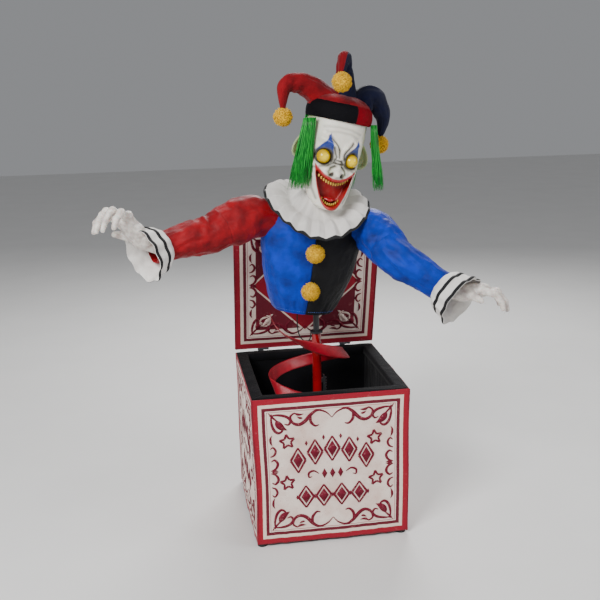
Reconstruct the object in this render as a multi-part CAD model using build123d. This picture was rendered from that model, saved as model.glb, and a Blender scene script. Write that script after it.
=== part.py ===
from build123d import *
import os
from math import acos, ceil, copysign, cos, pi, radians, sin, tan

# Animated jack in the box: a fabric-covered square box on a tube frame, a flap lid, a lift mast
# and a jester figure with posable arms, a turning head and a moving jaw.
# Millimetres. Origin: floor centre of the box. X to the viewer's right, -Y to the front, +Z up.

# Box
box_width = 500.0
box_depth = 500.0
box_height = 500.0
cover_thickness = 3.0
cover_floor_gap = 10.0
frame_inset = 22.0
joiner_size = 28.0
rail_size = 24.0
post_radius = 12.5
post_wall = 1.5
top_rail_radius = 12.0
foot_radius = 16.0
foot_height = 12.0
lining_gap = 36.0
lining_thickness = 2.0
lining_bottom = 60.0
hem_width = 42.0
hem_thickness = 3.0
plate_left = -170.0
plate_right = 130.0
plate_half_depth = 80.0
plate_thickness = 4.0

# Lid
lid_thickness = 30.0
lid_length = 500.0
lid_edge_gap = 8.0
lid_lean = 14.4
lid_skin = 2.5
lid_tube_radius = 11.0
hinge_radius = 6.0
hinge_pin_radius = 3.0
hinge_offset = 8.0
hinge_lift = 4.0
hinge_spacing = 150.0
knuckle_length = 20.0
running_clearance = 0.08

# Lift
outer_mast_radius = 15.0
outer_mast_bore = 13.0
outer_mast_top = 630.0
inner_mast_radius = 10.0
inner_mast_bottom = 270.0
turn_motor_bottom = 880.0
turn_motor_height = 60.0
slider_height = 30.0
socket_radius = 21.0
socket_height = 58.0
flange_radius = 45.0
flange_thickness = 8.0
bush_flange = 6.0
bush_depth = 34.0
slot_half_width = 6.5
lift_down = 160.0
lift_up = 20.0
gear_module = 3.0
pinion_teeth = 18
pinion_height = 300.0
gear_half_face = 5.0
gear_backlash = 0.5
rack_back = 20.0
rack_pitch_x = 29.0
pinion_shaft_radius = 4.0
bracket_front = 30.0
bracket_thickness = 4.0

# Control box
control_left = -165.0
control_right = -55.0
control_half_depth = 45.0
control_height = 48.0
button_radius = 9.0
button_height = 14.0
button_travel = 3.0

# Figure: torso leaning to the viewer's right about the sway pivot
torso_base = (-47.0, 0.0, 700.0)
torso_lean = 8.0
sway_height = 975.0
shoulder_reach = 150.0
shoulder_height = 335.0
bar_height = 20.0
bar_depth = 24.0
tunic_thickness = 5.0
armhole_radius = 52.0
# height, half width, half depth of the tunic
tunic_sections = [
    (12, 88, 62),
    (50, 115, 76),
    (130, 142, 86),
    (230, 160, 88),
    (300, 160, 80),
    (335, 146, 66),
    (352, 104, 50),
]
collar_inner_radius = 80.0
collar_pleats = 36
collar_thickness = 8.0
chest_pompom_radius = 28.0
chest_pompom_reach = 102.0
chest_pompom_heights = (95.0, 217.0)

# Arms: elbow and wrist points
left_elbow = (-352.0, -70.0, 989.0)
left_wrist = (-520.0, -130.0, 963.0)
right_elbow = (238.0, -165.0, 899.0)
right_wrist = (388.0, -230.0, 795.0)
arm_tube_radius = 8.0
fork_gap = 12.0
fork_cheek = 4.0
fork_reach = 26.0
eye_radius = 12.0
arm_pin_radius = 4.0
sleeve_wall = 4.0
sleeve_shoulder_gap = 92.0
sleeve_elbow_gap = 24.0
upper_sleeve_radius = 62.0
elbow_sleeve_radius = 54.0
wrist_sleeve_radius = 42.0
cuff_length = 46.0
cuff_radius = 78.0
wrist_radius = 20.0
palm_width = 74.0
palm_thickness = 30.0
finger_radius = 10.0
finger_tip_radius = 6.0

# Head
head_centre = (50.0, -15.0, 1200.0)
head_roll = 13.0
head_yaw = 4.0
mask_wall = 5.0
# height, half width, half depth, middle of depth
head_sections = [
    (-146, 40, 36, -72),
    (-120, 62, 62, -48),
    (-60, 80, 88, -20),
    (0, 88, 106, -2),
    (60, 92, 108, 0),
    (124, 92, 102, 2),
    (160, 68, 76, 2),
]
ear_width = 29.0
ear_height = 40.0
ear_thickness = 12.0
eye_spacing = 44.6
eye_height = 8.0
eye_radius_out = 21.5
eye_depth = -82.0
mouth_top = -62.0
mouth_half_width = 62.0
jaw_top = -130.0
jaw_half_width = 46.0
jaw_pivot_y = 10.0
jaw_pivot_z = -45.0
jaw_arm_x = 43.0
jaw_arm_thickness = 3.0
jaw_boss_radius = 9.0
jaw_pin_radius = 3.0
neck_y = 20.0
neck_hole_radius = 50.0
band_bottom = 124.0
band_top = 172.0
band_radius = 106.0
hat_pompom_radius = 29.0


def block(x0, x1, y0, y1, z0, z1):
    """A box between two opposite corners."""
    return Pos((x0 + x1) / 2, (y0 + y1) / 2, (z0 + z1) / 2) * Box(x1 - x0, y1 - y0, z1 - z0)


def rod(start, end, radius):
    """A round bar between two points."""
    along = Vector(end) - Vector(start)
    return Solid.make_cylinder(radius, along.length, Plane(Vector(start), z_dir=along))


def tube(start, end, radius, bore):
    return rod(start, end, radius) - rod(start, end, bore)


def cone(start, end, radius_start, radius_end):
    along = Vector(end) - Vector(start)
    return Solid.make_cone(radius_start, radius_end, along.length, Plane(Vector(start), z_dir=along))


def ball(centre, radius):
    return Pos(*centre) * Sphere(radius)


def on_the_way(start, end, distance):
    """The point that far from start towards end."""
    way = Vector(end) - Vector(start)
    return Vector(start) + way.normalized() * distance


def oval_loft(sections, shrink=0.0):
    """A smooth solid through level ovals of (height, half width, half depth, middle of depth)."""
    ovals = []
    for height, half_width, half_depth, *middle in sections:
        y = middle[0] if middle else 0
        ovals.append(Pos(0, y, height) * Ellipse(half_width - shrink, half_depth - shrink))
    return loft(ovals)


def cavity(sections, wall, bottom_shift, top_shift):
    """The inside of an oval loft, with its two end ovals moved up or down."""
    first = (sections[0][0] + bottom_shift, *sections[0][1:])
    last = (sections[-1][0] + top_shift, *sections[-1][1:])
    return oval_loft([first, *sections[1:-1], last], wall)


def four_corners(shape):
    """Copies of a shape at the four corner posts."""
    return [Pos(sx * post_x, sy * post_y, 0) * shape for sx in (-1, 1) for sy in (-1, 1)]


parts = {}


def keep(name, *shapes):
    """One named sub-part, of one solid or of several that come as a set."""
    solids = [solid for shape in shapes for solid in shape.solids()]
    parts[name] = solids[0] if len(solids) == 1 else Compound(solids)
    return parts[name]


# Box ------------------------------------------------------------------------------------------
half_w = box_width / 2
half_d = box_depth / 2
post_x = half_w - frame_inset
post_y = half_d - frame_inset
joiner_half = joiner_size / 2
rail_bottom = foot_height + (joiner_size - rail_size) / 2
rail_top = rail_bottom + rail_size
plate_top = rail_top + plate_thickness
joiner_top = foot_height + joiner_size
upper_joiner_top = box_height - 2
upper_joiner_bottom = upper_joiner_top - joiner_size
top_rail_z = upper_joiner_top - joiner_half
hem_top = box_height + hem_thickness


def make_feet():
    corner_feet = four_corners(rod((0, 0, 0), (0, 0, foot_height), foot_radius))
    keep("feet", *corner_feet, rod((0, 0, 0), (0, 0, rail_bottom), foot_radius))


def make_base_frame():
    """Square tubes between the lower corners, a cross under the mast and the steel plate on it."""
    half = rail_size / 2
    end_x = post_x - joiner_half
    end_y = post_y - joiner_half
    frame = block(-post_x + half, post_x - half, -half, half, rail_bottom, rail_top)
    frame += block(-half, half, -post_y + half, post_y - half, rail_bottom, rail_top)
    for side in (-1, 1):
        y = side * post_y
        x = side * post_x
        frame += block(-end_x, end_x, y - half, y + half, rail_bottom, rail_top)
        frame += block(x - half, x + half, -end_y, end_y, rail_bottom, rail_top)
    frame += block(plate_left, plate_right, -plate_half_depth, plate_half_depth, rail_top, plate_top)
    keep("base_frame", frame)


def make_upper_frame():
    joiner = block(-joiner_half, joiner_half, -joiner_half, joiner_half, foot_height, joiner_top)
    upper = Pos(0, 0, upper_joiner_bottom - foot_height) * joiner
    keep("corner_joiners", *four_corners(joiner), *four_corners(upper))
    post = tube((0, 0, joiner_top), (0, 0, upper_joiner_bottom), post_radius, post_radius - post_wall)
    keep("corner_posts", *four_corners(post))
    rails = []
    end_x = post_x - joiner_half
    end_y = post_y - joiner_half
    bore = top_rail_radius - post_wall
    for side in (-1, 1):
        y = side * post_y
        x = side * post_x
        rails.append(tube((-end_x, y, top_rail_z), (end_x, y, top_rail_z), top_rail_radius, bore))
        rails.append(tube((x, -end_y, top_rail_z), (x, end_y, top_rail_z), top_rail_radius, bore))
    keep("top_rails", *rails)


def make_cover():
    """The printed fabric walls, the black hem round the rim and the black lining."""
    t = cover_thickness
    bottom = cover_floor_gap
    keep("front_panel", block(-half_w, half_w, -half_d, -half_d + t, bottom, box_height))
    keep("back_panel", block(-half_w, half_w, half_d - t, half_d, bottom, box_height))
    left = block(-half_w, -half_w + t, -half_d + t, half_d - t, bottom, box_height)
    right = block(half_w - t, half_w, -half_d + t, half_d - t, bottom, box_height)
    keep("side_panels", left, right)
    hem = block(-half_w, half_w, -half_d, half_d, box_height, hem_top)
    inner_w = half_w - hem_width
    inner_d = half_d - hem_width
    hem -= block(-inner_w, inner_w, -inner_d, inner_d, box_height, hem_top)
    keep("top_hem", hem)
    out_w = half_w - lining_gap
    out_d = half_d - lining_gap
    in_w = out_w - lining_thickness
    in_d = out_d - lining_thickness
    lining = block(-out_w, out_w, -out_d, out_d, lining_bottom, box_height)
    lining -= block(-in_w, in_w, -in_d, in_d, lining_bottom, box_height)
    keep("box_lining", lining)


# Lid ------------------------------------------------------------------------------------------
hinge_y = half_d + hinge_offset
hinge_z = hem_top + hinge_lift
lid_place = Pos(0, hinge_y, hinge_z) * Rot(lid_lean, 0, 0) * Pos(0, -hinge_offset, 0)
lid_top = lid_edge_gap + lid_length


def make_lid():
    """A printed inner cover and a tray-shaped outer cover over a ring of tubes."""
    inner = block(-half_w, half_w, 0, lid_skin, lid_edge_gap, lid_top)
    keep("lid_inner_cover", lid_place * inner)
    tray = block(-half_w, half_w, lid_skin, lid_thickness, lid_edge_gap, lid_top)
    hollow_x = half_w - lid_skin
    hollow_back = lid_thickness - lid_skin
    tray -= block(-hollow_x, hollow_x, lid_skin, hollow_back, lid_edge_gap + lid_skin, lid_top - lid_skin)
    keep("lid_outer_cover", lid_place * tray)
    middle = (lid_skin + hollow_back) / 2
    x = hollow_x - lid_tube_radius - 1
    low = lid_edge_gap + lid_skin + lid_tube_radius + 1
    high = lid_top - lid_skin - lid_tube_radius - 1
    corners = [(-x, middle, low), (x, middle, low), (x, middle, high), (-x, middle, high)]
    ring = ball(corners[0], lid_tube_radius)
    for start, end in zip(corners, corners[1:] + corners[:1]):
        ring += rod(start, end, lid_tube_radius) + ball(end, lid_tube_radius)
    keep("lid_frame", lid_place * ring)


def make_lid_hinges():
    """Two strap hinges: the pin is fixed in the box's knuckle and turns in the lid's."""
    fixed = []
    moving = []
    for side in (-1, 1):
        start = side * hinge_spacing - knuckle_length
        middle = start + knuckle_length
        end = middle + knuckle_length
        knuckle = rod((start, hinge_y, hinge_z), (middle - 0.3, hinge_y, hinge_z), hinge_radius)
        leaf = block(start, middle - 0.3, half_d, half_d + 3, hinge_z - 32, hinge_z)
        pin = rod((start, hinge_y, hinge_z), (end, hinge_y, hinge_z), hinge_pin_radius)
        fixed.append(knuckle + leaf + pin)
        hole = hinge_pin_radius + running_clearance
        sleeve = rod((middle, hinge_offset, 0), (end, hinge_offset, 0), hinge_radius)
        sleeve += block(middle, end, hinge_offset - 3, hinge_offset + 3, 0, lid_edge_gap)
        sleeve -= rod((middle, hinge_offset, 0), (end, hinge_offset, 0), hole)
        moving.append(lid_place * sleeve)
    keep("lid_hinges_fixed", *fixed)
    keep("lid_hinges_moving", *moving)


# Lift -----------------------------------------------------------------------------------------
pitch_radius = gear_module * pinion_teeth / 2
pinion_x = rack_pitch_x + pitch_radius
rack_bottom = pinion_height - 35
rack_top = pinion_height + lift_down + 20
pressure = radians(20)
turn_motor_top = turn_motor_bottom + turn_motor_height
shaft_end = bracket_front + bracket_thickness + 10


def make_outer_mast():
    """The fixed red tube in its floor socket, slotted on one side for the rack's lugs."""
    socket_top = plate_top + socket_height
    socket = rod((0, 0, plate_top), (0, 0, plate_top + flange_thickness), flange_radius)
    socket += rod((0, 0, plate_top), (0, 0, socket_top), socket_radius)
    socket -= rod((0, 0, plate_top), (0, 0, socket_top), outer_mast_radius)
    keep("mast_socket", socket)
    mast = tube((0, 0, plate_top), (0, 0, outer_mast_top), outer_mast_radius, outer_mast_bore)
    mast -= block(0, 20, -slot_half_width, slot_half_width, socket_top + 4, rack_top + lift_up)
    keep("outer_mast", mast)
    bush = rod((0, 0, outer_mast_top - bush_depth), (0, 0, outer_mast_top), outer_mast_bore)
    bush += rod((0, 0, outer_mast_top), (0, 0, outer_mast_top + bush_flange), outer_mast_radius + 6)
    bore = inner_mast_radius + running_clearance
    bush -= rod((0, 0, outer_mast_top - bush_depth), (0, 0, outer_mast_top + bush_flange), bore)
    keep("mast_bush", bush)


def make_inner_mast():
    """The sliding black rod with a wide slider at its foot, and the motor that turns the torso."""
    slider_top = inner_mast_bottom + slider_height
    mast = rod((0, 0, inner_mast_bottom), (0, 0, turn_motor_bottom), inner_mast_radius)
    mast += rod((0, 0, inner_mast_bottom), (0, 0, slider_top), outer_mast_bore - running_clearance)
    keep("inner_mast", mast)
    motor = block(-30, 30, -25, 25, turn_motor_bottom, turn_motor_top)
    motor -= rod((0, 0, turn_motor_top - 20), (0, 0, turn_motor_top), 6 + running_clearance)
    keep("turn_motor", motor)
    lugs = []
    for low in (inner_mast_bottom + 5, rack_top - 25):
        lug = block(0, rack_back, -slot_half_width + 1, slot_half_width - 1, low, low + 14)
        lugs.append(lug - mast)
    root_x = rack_pitch_x - 1.25 * gear_module
    rack = block(rack_back, root_x, -gear_half_face, gear_half_face, rack_bottom, rack_top)
    for lug in lugs:
        rack += lug
    step = pi * gear_module
    half_pitch = step / 4 - gear_backlash / 2
    half_tip = half_pitch - gear_module * tan(pressure)
    half_root = half_pitch + 1.25 * gear_module * tan(pressure)
    tip_x = rack_pitch_x + gear_module
    first = ceil((rack_bottom + half_root - pinion_height) / step)
    last = int((rack_top - half_root - pinion_height) / step)
    for tooth in range(first, last + 1):
        z = pinion_height + tooth * step
        corners = [
            (root_x, z - half_root),
            (tip_x, z - half_tip),
            (tip_x, z + half_tip),
            (root_x, z + half_root),
        ]
        outline = Plane.XZ * make_face(Polyline(*corners, close=True))
        rack += extrude(outline, gear_half_face, both=True)
    keep("lift_rack", rack)


def make_pinion():
    """Involute pinion on its motor shaft. A tooth space faces the rack at rest."""
    base_radius = pitch_radius * cos(pressure)
    root_radius = pitch_radius - 1.25 * gear_module
    tip_radius = pitch_radius + gear_module
    half_tooth = pi / 2 / pinion_teeth - gear_backlash / 2 / pitch_radius + tan(pressure) - pressure

    def half_angle(radius):
        lean = acos(min(1, base_radius / radius))
        return half_tooth - tan(lean) + lean

    lower_radius = (base_radius + pitch_radius) / 2
    upper_radius = (pitch_radius + tip_radius) / 2
    radii = [root_radius, base_radius, lower_radius, pitch_radius, upper_radius, tip_radius]
    points = []
    for tooth in range(pinion_teeth):
        middle = pi + (tooth + 0.5) * 2 * pi / pinion_teeth
        for radius in radii:
            angle = middle - half_angle(radius)
            points.append((radius * cos(angle), radius * sin(angle)))
        for radius in reversed(radii):
            angle = middle + half_angle(radius)
            points.append((radius * cos(angle), radius * sin(angle)))
    outline = Plane.XZ * make_face(Polyline(*points, close=True))
    gear = Pos(pinion_x, 0, pinion_height) * extrude(outline, gear_half_face, both=True)
    gear += rod((pinion_x, 0, pinion_height), (pinion_x, shaft_end, pinion_height), pinion_shaft_radius)
    keep("drive_pinion", gear)


def make_gear_motor():
    """The bracket on the base plate, and the worm gear motor behind it."""
    back = bracket_front + bracket_thickness
    hole = pinion_shaft_radius + running_clearance
    plate = block(pinion_x - 20, pinion_x + 40, bracket_front, back, plate_top, pinion_height + 40)
    plate += block(pinion_x - 20, pinion_x + 40, back, plate_half_depth - 8, plate_top, plate_top + 4)
    plate -= rod((pinion_x, bracket_front, pinion_height), (pinion_x, back, pinion_height), hole)
    keep("motor_bracket", plate)
    motor = block(pinion_x - 20, pinion_x + 30, back, back + 34, pinion_height - 38, pinion_height + 38)
    motor_x = pinion_x + 5
    motor_y = back + 17
    motor += rod((motor_x, motor_y, pinion_height - 120), (motor_x, motor_y, pinion_height - 38), 17)
    motor -= rod((pinion_x, back, pinion_height), (pinion_x, shaft_end + 2, pinion_height), hole)
    keep("gear_motor", motor)


def make_control_box():
    """Circuit case on the base plate with its try-me button on top."""
    top = plate_top + control_height
    middle = (control_left + control_right) / 2
    case = block(control_left, control_right, -control_half_depth, control_half_depth, plate_top, top)
    well = top - button_height + 2
    hole = rod((middle, 0, well - button_travel - 1), (middle, 0, top), button_radius + 0.2)
    keep("control_box", case - hole)
    keep("try_button", rod((middle, 0, well), (middle, 0, well + button_height), button_radius))


def make_lead():
    """The thin black lead that loops from the turn motor down to the top of the red tube."""
    clip_x = -outer_mast_radius - 3.5
    start = (-22, 16, turn_motor_bottom)
    end = (clip_x, 0, outer_mast_top)
    route = [
        (-22, 16, 850),
        (-36, 16, 808),
        (-52, 15, 756),
        (-61, 12, 704),
        (-63, 8, 654),
        (-57, 5, 618),
        (-38, 2, 598),
    ]
    points = [Vector(p) for p in [start, *route, (clip_x, 0, 606), end]]
    bends = []
    for before, here, after in zip(points, points[1:], points[2:]):
        shorter = min((here - before).length, (after - here).length)
        turn = (here - before).get_angle(after - here)
        bends.append(0.45 * shorter / tan(radians(turn / 2)))
    print("lead radii", [round(bend) for bend in bends])
    path = FilletPolyline(*points, radius=bends)
    section = Plane(path @ 0, z_dir=path % 0) * Circle(2)
    keep("waist_lead", sweep(section, path=path))


def make_ribbon():
    """A flat ribbon that hangs in a loose coil round the mast, as a pretend spring."""
    half_height = 15
    half_thickness = 1
    middle_x = -30
    radius_x = 126
    radius_y = 92
    top = 698
    drop = 268
    first = 200
    sweep_angle = 430
    steps = 44
    sections = []
    for step in range(steps + 1):
        share = step / steps
        angle = radians(first + share * sweep_angle)
        z = top - drop * share ** 0.6
        x = cos(angle)
        y = sin(angle)
        inner = (middle_x + (radius_x - half_thickness) * x, (radius_y - half_thickness) * y)
        outer = (middle_x + (radius_x + half_thickness) * x, (radius_y + half_thickness) * y)
        corners = [
            (*inner, z - half_height),
            (*outer, z - half_height),
            (*outer, z + half_height),
            (*inner, z + half_height),
        ]
        sections.append(make_face(Polyline(*corners, close=True)))
    keep("spring_ribbon", loft(sections, ruled=True))


# Torso ----------------------------------------------------------------------------------------
torso_place = Pos(*torso_base) * Rot(0, torso_lean, 0)
lean = radians(torso_lean)


def in_torso(x, y, z):
    """A torso point in the box's frame."""
    wide = x * cos(lean) + z * sin(lean)
    high = z * cos(lean) - x * sin(lean)
    return (torso_base[0] + wide, torso_base[1] + y, torso_base[2] + high)


left_shoulder = in_torso(-shoulder_reach, 0, shoulder_height)
right_shoulder = in_torso(shoulder_reach, 0, shoulder_height)
offset_x = -torso_base[0]
offset_z = sway_height - torso_base[2]
sway_local_x = offset_x * cos(lean) - offset_z * sin(lean)
sway_local_z = offset_x * sin(lean) + offset_z * cos(lean)


def joint_axis(along, towards):
    """The pin direction nearest to towards that is square to along."""
    line = Vector(along).normalized()
    wanted = Vector(towards)
    return (wanted - line * wanted.dot(line)).normalized()


def fork(point, along, axis):
    """Two cheeks round a pin at point, with their bridge behind it, and the pin itself."""
    plane = Plane(Vector(point), x_dir=along, z_dir=axis)
    inner = fork_gap / 2
    outer = inner + fork_cheek
    shape = block(-fork_reach, -eye_radius - 3, -eye_radius, eye_radius, -outer, outer)
    for low, high in ((-outer, -inner), (inner, outer)):
        shape += block(-fork_reach, 0, -eye_radius, eye_radius, low, high)
        shape += Pos(0, 0, (low + high) / 2) * Cylinder(eye_radius, high - low)
    shape += Cylinder(arm_pin_radius, 2 * outer + 3)
    return plane.location * shape


def eye(point, along, axis):
    """The flat end of a tube that turns on the fork's pin."""
    plane = Plane(Vector(point), x_dir=along, z_dir=axis)
    half = fork_gap / 2 - 0.5
    shape = Cylinder(eye_radius, 2 * half)
    shape += block(0, fork_reach, -arm_tube_radius, arm_tube_radius, -half, half)
    shape -= Cylinder(arm_pin_radius + running_clearance, 2 * half)
    return plane.location * shape


def make_swivel():
    """Bracket on the turn motor's shaft, with the pin that the torso sways on."""
    base = turn_motor_top + 1
    ear = 21
    bracket = block(-25, 25, -ear - 4, ear + 4, base, base + 4)
    bracket += rod((0, 0, turn_motor_top - 18), (0, 0, base + 2), 6)
    for low, high in ((-ear - 4, -ear), (ear, ear + 4)):
        bracket += block(-14, 14, low, high, base, sway_height)
        bracket += rod((0, low, sway_height), (0, high, sway_height), 14)
    bracket += rod((0, -ear - 2, sway_height), (0, ear + 2, sway_height), 5)
    keep("swivel_bracket", bracket)
    keep("sway_motor", block(-20, 20, ear + 4, ear + 34, base + 4, sway_height + 20))


def make_shoulder_bar():
    """Hub on the sway pin, the cross bar and a fork at each shoulder."""
    bar_bottom = shoulder_height - bar_height / 2
    bar_half = shoulder_reach - fork_reach - 4
    bar_top = shoulder_height + bar_height / 2
    bar = torso_place * block(-bar_half, bar_half, -bar_depth / 2, bar_depth / 2, bar_bottom, bar_top)
    hub = rod((0, -19, sway_height), (0, 19, sway_height), 12)
    hub += torso_place * block(sway_local_x - 12, sway_local_x + 12, -19, 19, sway_local_z, bar_bottom + 1)
    bar += hub - rod((0, -19, sway_height), (0, 19, sway_height), 5 + running_clearance)
    for shoulder, elbow in ((left_shoulder, left_elbow), (right_shoulder, right_elbow)):
        along = Vector(elbow) - Vector(shoulder)
        bar += fork(shoulder, along, joint_axis(along, (0, 1, 0)))
        bar_end = in_torso(copysign(bar_half - 12, shoulder[0]), 0, shoulder_height)
        bar += rod(bar_end, on_the_way(shoulder, elbow, -fork_reach + 4), 9)
    keep("shoulder_bar", bar)


def make_tunic():
    """The blue and the black half of the hollow tunic, with armholes, a neck and an open hem."""
    outer = oval_loft(tunic_sections)
    inner = cavity(tunic_sections, tunic_thickness, -tunic_thickness, tunic_thickness)
    body = outer - inner
    for side in (-1, 1):
        start = (side * (shoulder_reach - 40), 0, shoulder_height)
        end = (side * (shoulder_reach + 100), 0, shoulder_height)
        body -= rod(start, end, armhole_radius)
    keep("tunic_blue", torso_place * (body & block(-250, 0, -200, 200, 0, 450)))
    keep("tunic_black", torso_place * (body & block(0, 250, -200, 200, 0, 450)))
    balls = []
    for height in chest_pompom_heights:
        balls.append(torso_place * (ball((0, -chest_pompom_reach, height), chest_pompom_radius) - outer))
    keep("chest_pompoms", *balls)


def make_collar():
    """The pleated ruffle that lies over the shoulders and chest, open at the back."""
    sections = []
    for pleat in range(collar_pleats + 1):
        angle = radians(-174 + 348 * pleat / collar_pleats)
        front = (1 + cos(angle)) / 2
        reach = 108 + 44 * front + 34 * abs(sin(angle))
        inner_z = 400 - 78 * front ** 2
        outer_z = 408 - 128 * front ** 3
        neck = collar_inner_radius + 32 * front ** 2
        inner = (neck * sin(angle), -neck * cos(angle))
        outer = (reach * sin(angle), -reach * cos(angle))
        top = collar_thickness
        corners = [(*inner, inner_z), (*outer, outer_z), (*outer, outer_z + top), (*inner, inner_z + top)]
        sections.append(make_face(Polyline(*corners, close=True)))
    keep("collar_ruffle", torso_place * loft(sections, ruled=True))


# Arms -----------------------------------------------------------------------------------------
def make_arm(side, shoulder, elbow, wrist, knuckles, finger_tip):
    """Tubes, sleeves, cuff and hand of one arm."""
    upper = Vector(elbow) - Vector(shoulder)
    fore = Vector(wrist) - Vector(elbow)
    shoulder_axis = joint_axis(upper, (0, 1, 0))
    elbow_axis = upper.cross(fore).normalized()
    tube_end = on_the_way(elbow, shoulder, fork_reach - 4)
    arm = eye(shoulder, upper, shoulder_axis) + fork(elbow, upper, elbow_axis)
    arm += rod(on_the_way(shoulder, elbow, fork_reach - 4), tube_end, arm_tube_radius)
    keep(side + "_upper_arm", arm)
    forearm = eye(elbow, fore, elbow_axis)
    forearm += rod(on_the_way(elbow, wrist, fork_reach - 4), wrist, arm_tube_radius)
    keep(side + "_forearm", forearm)
    start = on_the_way(shoulder, elbow, sleeve_shoulder_gap)
    end = on_the_way(elbow, shoulder, sleeve_elbow_gap)
    sleeve = cone(start, end, upper_sleeve_radius, elbow_sleeve_radius)
    sleeve -= cone(start, end, upper_sleeve_radius - sleeve_wall, elbow_sleeve_radius - sleeve_wall)
    keep(side + "_upper_sleeve", sleeve)
    start = on_the_way(elbow, wrist, sleeve_elbow_gap)
    end = on_the_way(wrist, elbow, cuff_length / 2)
    sleeve = cone(start, end, elbow_sleeve_radius, wrist_sleeve_radius)
    sleeve -= cone(start, end, elbow_sleeve_radius - sleeve_wall, wrist_sleeve_radius - sleeve_wall)
    keep(side + "_lower_sleeve", sleeve)
    mouth = on_the_way(wrist, elbow, -cuff_length / 2)
    cuff = cone(end, mouth, wrist_sleeve_radius, cuff_radius)
    cuff -= cone(end, mouth, wrist_sleeve_radius - sleeve_wall, cuff_radius - sleeve_wall)
    keep(side + "_cuff", cuff)
    make_hand(side, wrist, mouth, knuckles, finger_tip)


def make_hand(side, wrist, cuff_mouth, knuckles, finger_tip):
    """Palm with four curled fingers and a thumb, moulded in one piece on the end of the arm tube."""
    heel = on_the_way(cuff_mouth, wrist, -14)
    along = Vector(knuckles) - heel
    across = along.cross(Vector(finger_tip) - Vector(knuckles)).normalized()
    plane = Plane(heel, x_dir=along, z_dir=across)
    half_width = palm_width / 2
    half_thick = palm_thickness / 2
    palm = block(0, along.length, -half_thick, half_thick, -half_width, half_width)
    palm = fillet(palm.edges(), 12)
    hand = plane.location * palm + rod(wrist, heel, wrist_radius) + ball(heel, wrist_radius)
    droop = Vector(finger_tip) - Vector(knuckles)
    for finger in range(4):
        shift = across * (palm_width * (finger - 1.5) / 4.4)
        root = Vector(knuckles) + shift - along.normalized() * 10
        middle = Vector(knuckles) + shift * 1.25 + along.normalized() * 28 + droop * 0.3
        tip = middle + droop * 0.75
        hand += rod(root, middle, finger_radius) + ball(middle, finger_radius)
        hand += cone(middle, tip, finger_radius, finger_tip_radius) + ball(tip, finger_tip_radius)
    thumb_root = heel + along * 0.4 - across * (half_width - 8)
    thumb_tip = thumb_root - across * 34 + droop * 0.45
    hand += rod(thumb_root, thumb_tip, finger_radius) + ball(thumb_tip, finger_radius)
    keep(side + "_hand", hand)


# Head -----------------------------------------------------------------------------------------
head_place = Pos(*head_centre) * Rot(0, 0, head_yaw) * Rot(0, head_roll, 0)
head_up = (head_place * Pos(0, 0, 1)).position - head_place.position


def make_mask():
    """The hollow latex mask with moulded ears, eye holes, the mouth gap and an open neck."""
    outer = oval_loft(head_sections)
    inner = cavity(head_sections, mask_wall, mask_wall, -mask_wall)
    shell = outer - inner
    for side in (-1, 1):
        ear = extrude(Plane.XZ * Ellipse(ear_width, ear_height), ear_thickness / 2, both=True)
        shell += Pos(side * head_sections[3][1], 6, 6) * Rot(0, side * 8, side * 14) * ear - inner
        eye_x = side * eye_spacing
        shell -= rod((eye_x, -130, eye_height), (eye_x, -40, eye_height), eye_radius_out)
    gap = block(-mouth_half_width, mouth_half_width, -140, -20, -170, mouth_top)
    shell -= gap
    shell -= rod((0, neck_y, -170), (0, neck_y, -90), neck_hole_radius)
    keep("mask_shell", head_place * shell)
    chin = (outer - inner) & block(-jaw_half_width, jaw_half_width, -140, -26, -170, jaw_top)
    half = jaw_arm_thickness / 2
    jaw = chin
    for side in (-1, 1):
        x = side * jaw_arm_x
        arm = Polyline(
            (-62, jaw_top - 2),
            (-44, jaw_top - 2),
            (jaw_pivot_y + 8, jaw_pivot_z),
            (jaw_pivot_y - 8, jaw_pivot_z),
            close=True,
        )
        near = (x - half, jaw_pivot_y, jaw_pivot_z)
        far = (x + half, jaw_pivot_y, jaw_pivot_z)
        plate = Pos(x, 0, 0) * extrude(Plane.YZ * make_face(arm), half, both=True)
        plate += rod(near, far, jaw_boss_radius)
        plate -= rod(near, far, jaw_pin_radius + running_clearance)
        jaw += plate
    floor = inner & block(-jaw_arm_x - 2, jaw_arm_x + 2, -140, -44, jaw_top - 5, jaw_top)
    keep("jaw_shell", head_place * (jaw + floor))
    make_teeth()
    domes = []
    for side in (-1, 1):
        domes.append(head_place * ball((side * eye_spacing, eye_depth, eye_height), eye_radius_out))
    keep("eye_domes", *domes)


def make_teeth():
    """Curved strips of small teeth behind the upper lip and on the jaw."""
    upper = []
    lower = []
    count = 9
    for tooth in range(count):
        angle = radians(-56 + 112 * tooth / (count - 1))
        x = 44 * sin(angle)
        upper.append(Pos(x, 14 - 94 * cos(angle), mouth_top - 2) * Box(8, 5, 16))
        lower.append(Pos(0.72 * x, 10 - 88 * cos(0.8 * angle), jaw_top + 6) * Box(6, 5, 12))
    gum_top = block(-42, 42, -78, -36, mouth_top + 6, mouth_top + 10)
    upper_set = gum_top
    for piece in upper:
        upper_set += piece & block(-60, 60, -140, -36, mouth_top - 10, mouth_top + 8)
    inside = oval_loft(head_sections, mask_wall + 0.2)
    keep("upper_teeth", head_place * (upper_set & inside))
    keep("lower_teeth", *[head_place * (piece & inside) for piece in lower])


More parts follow.
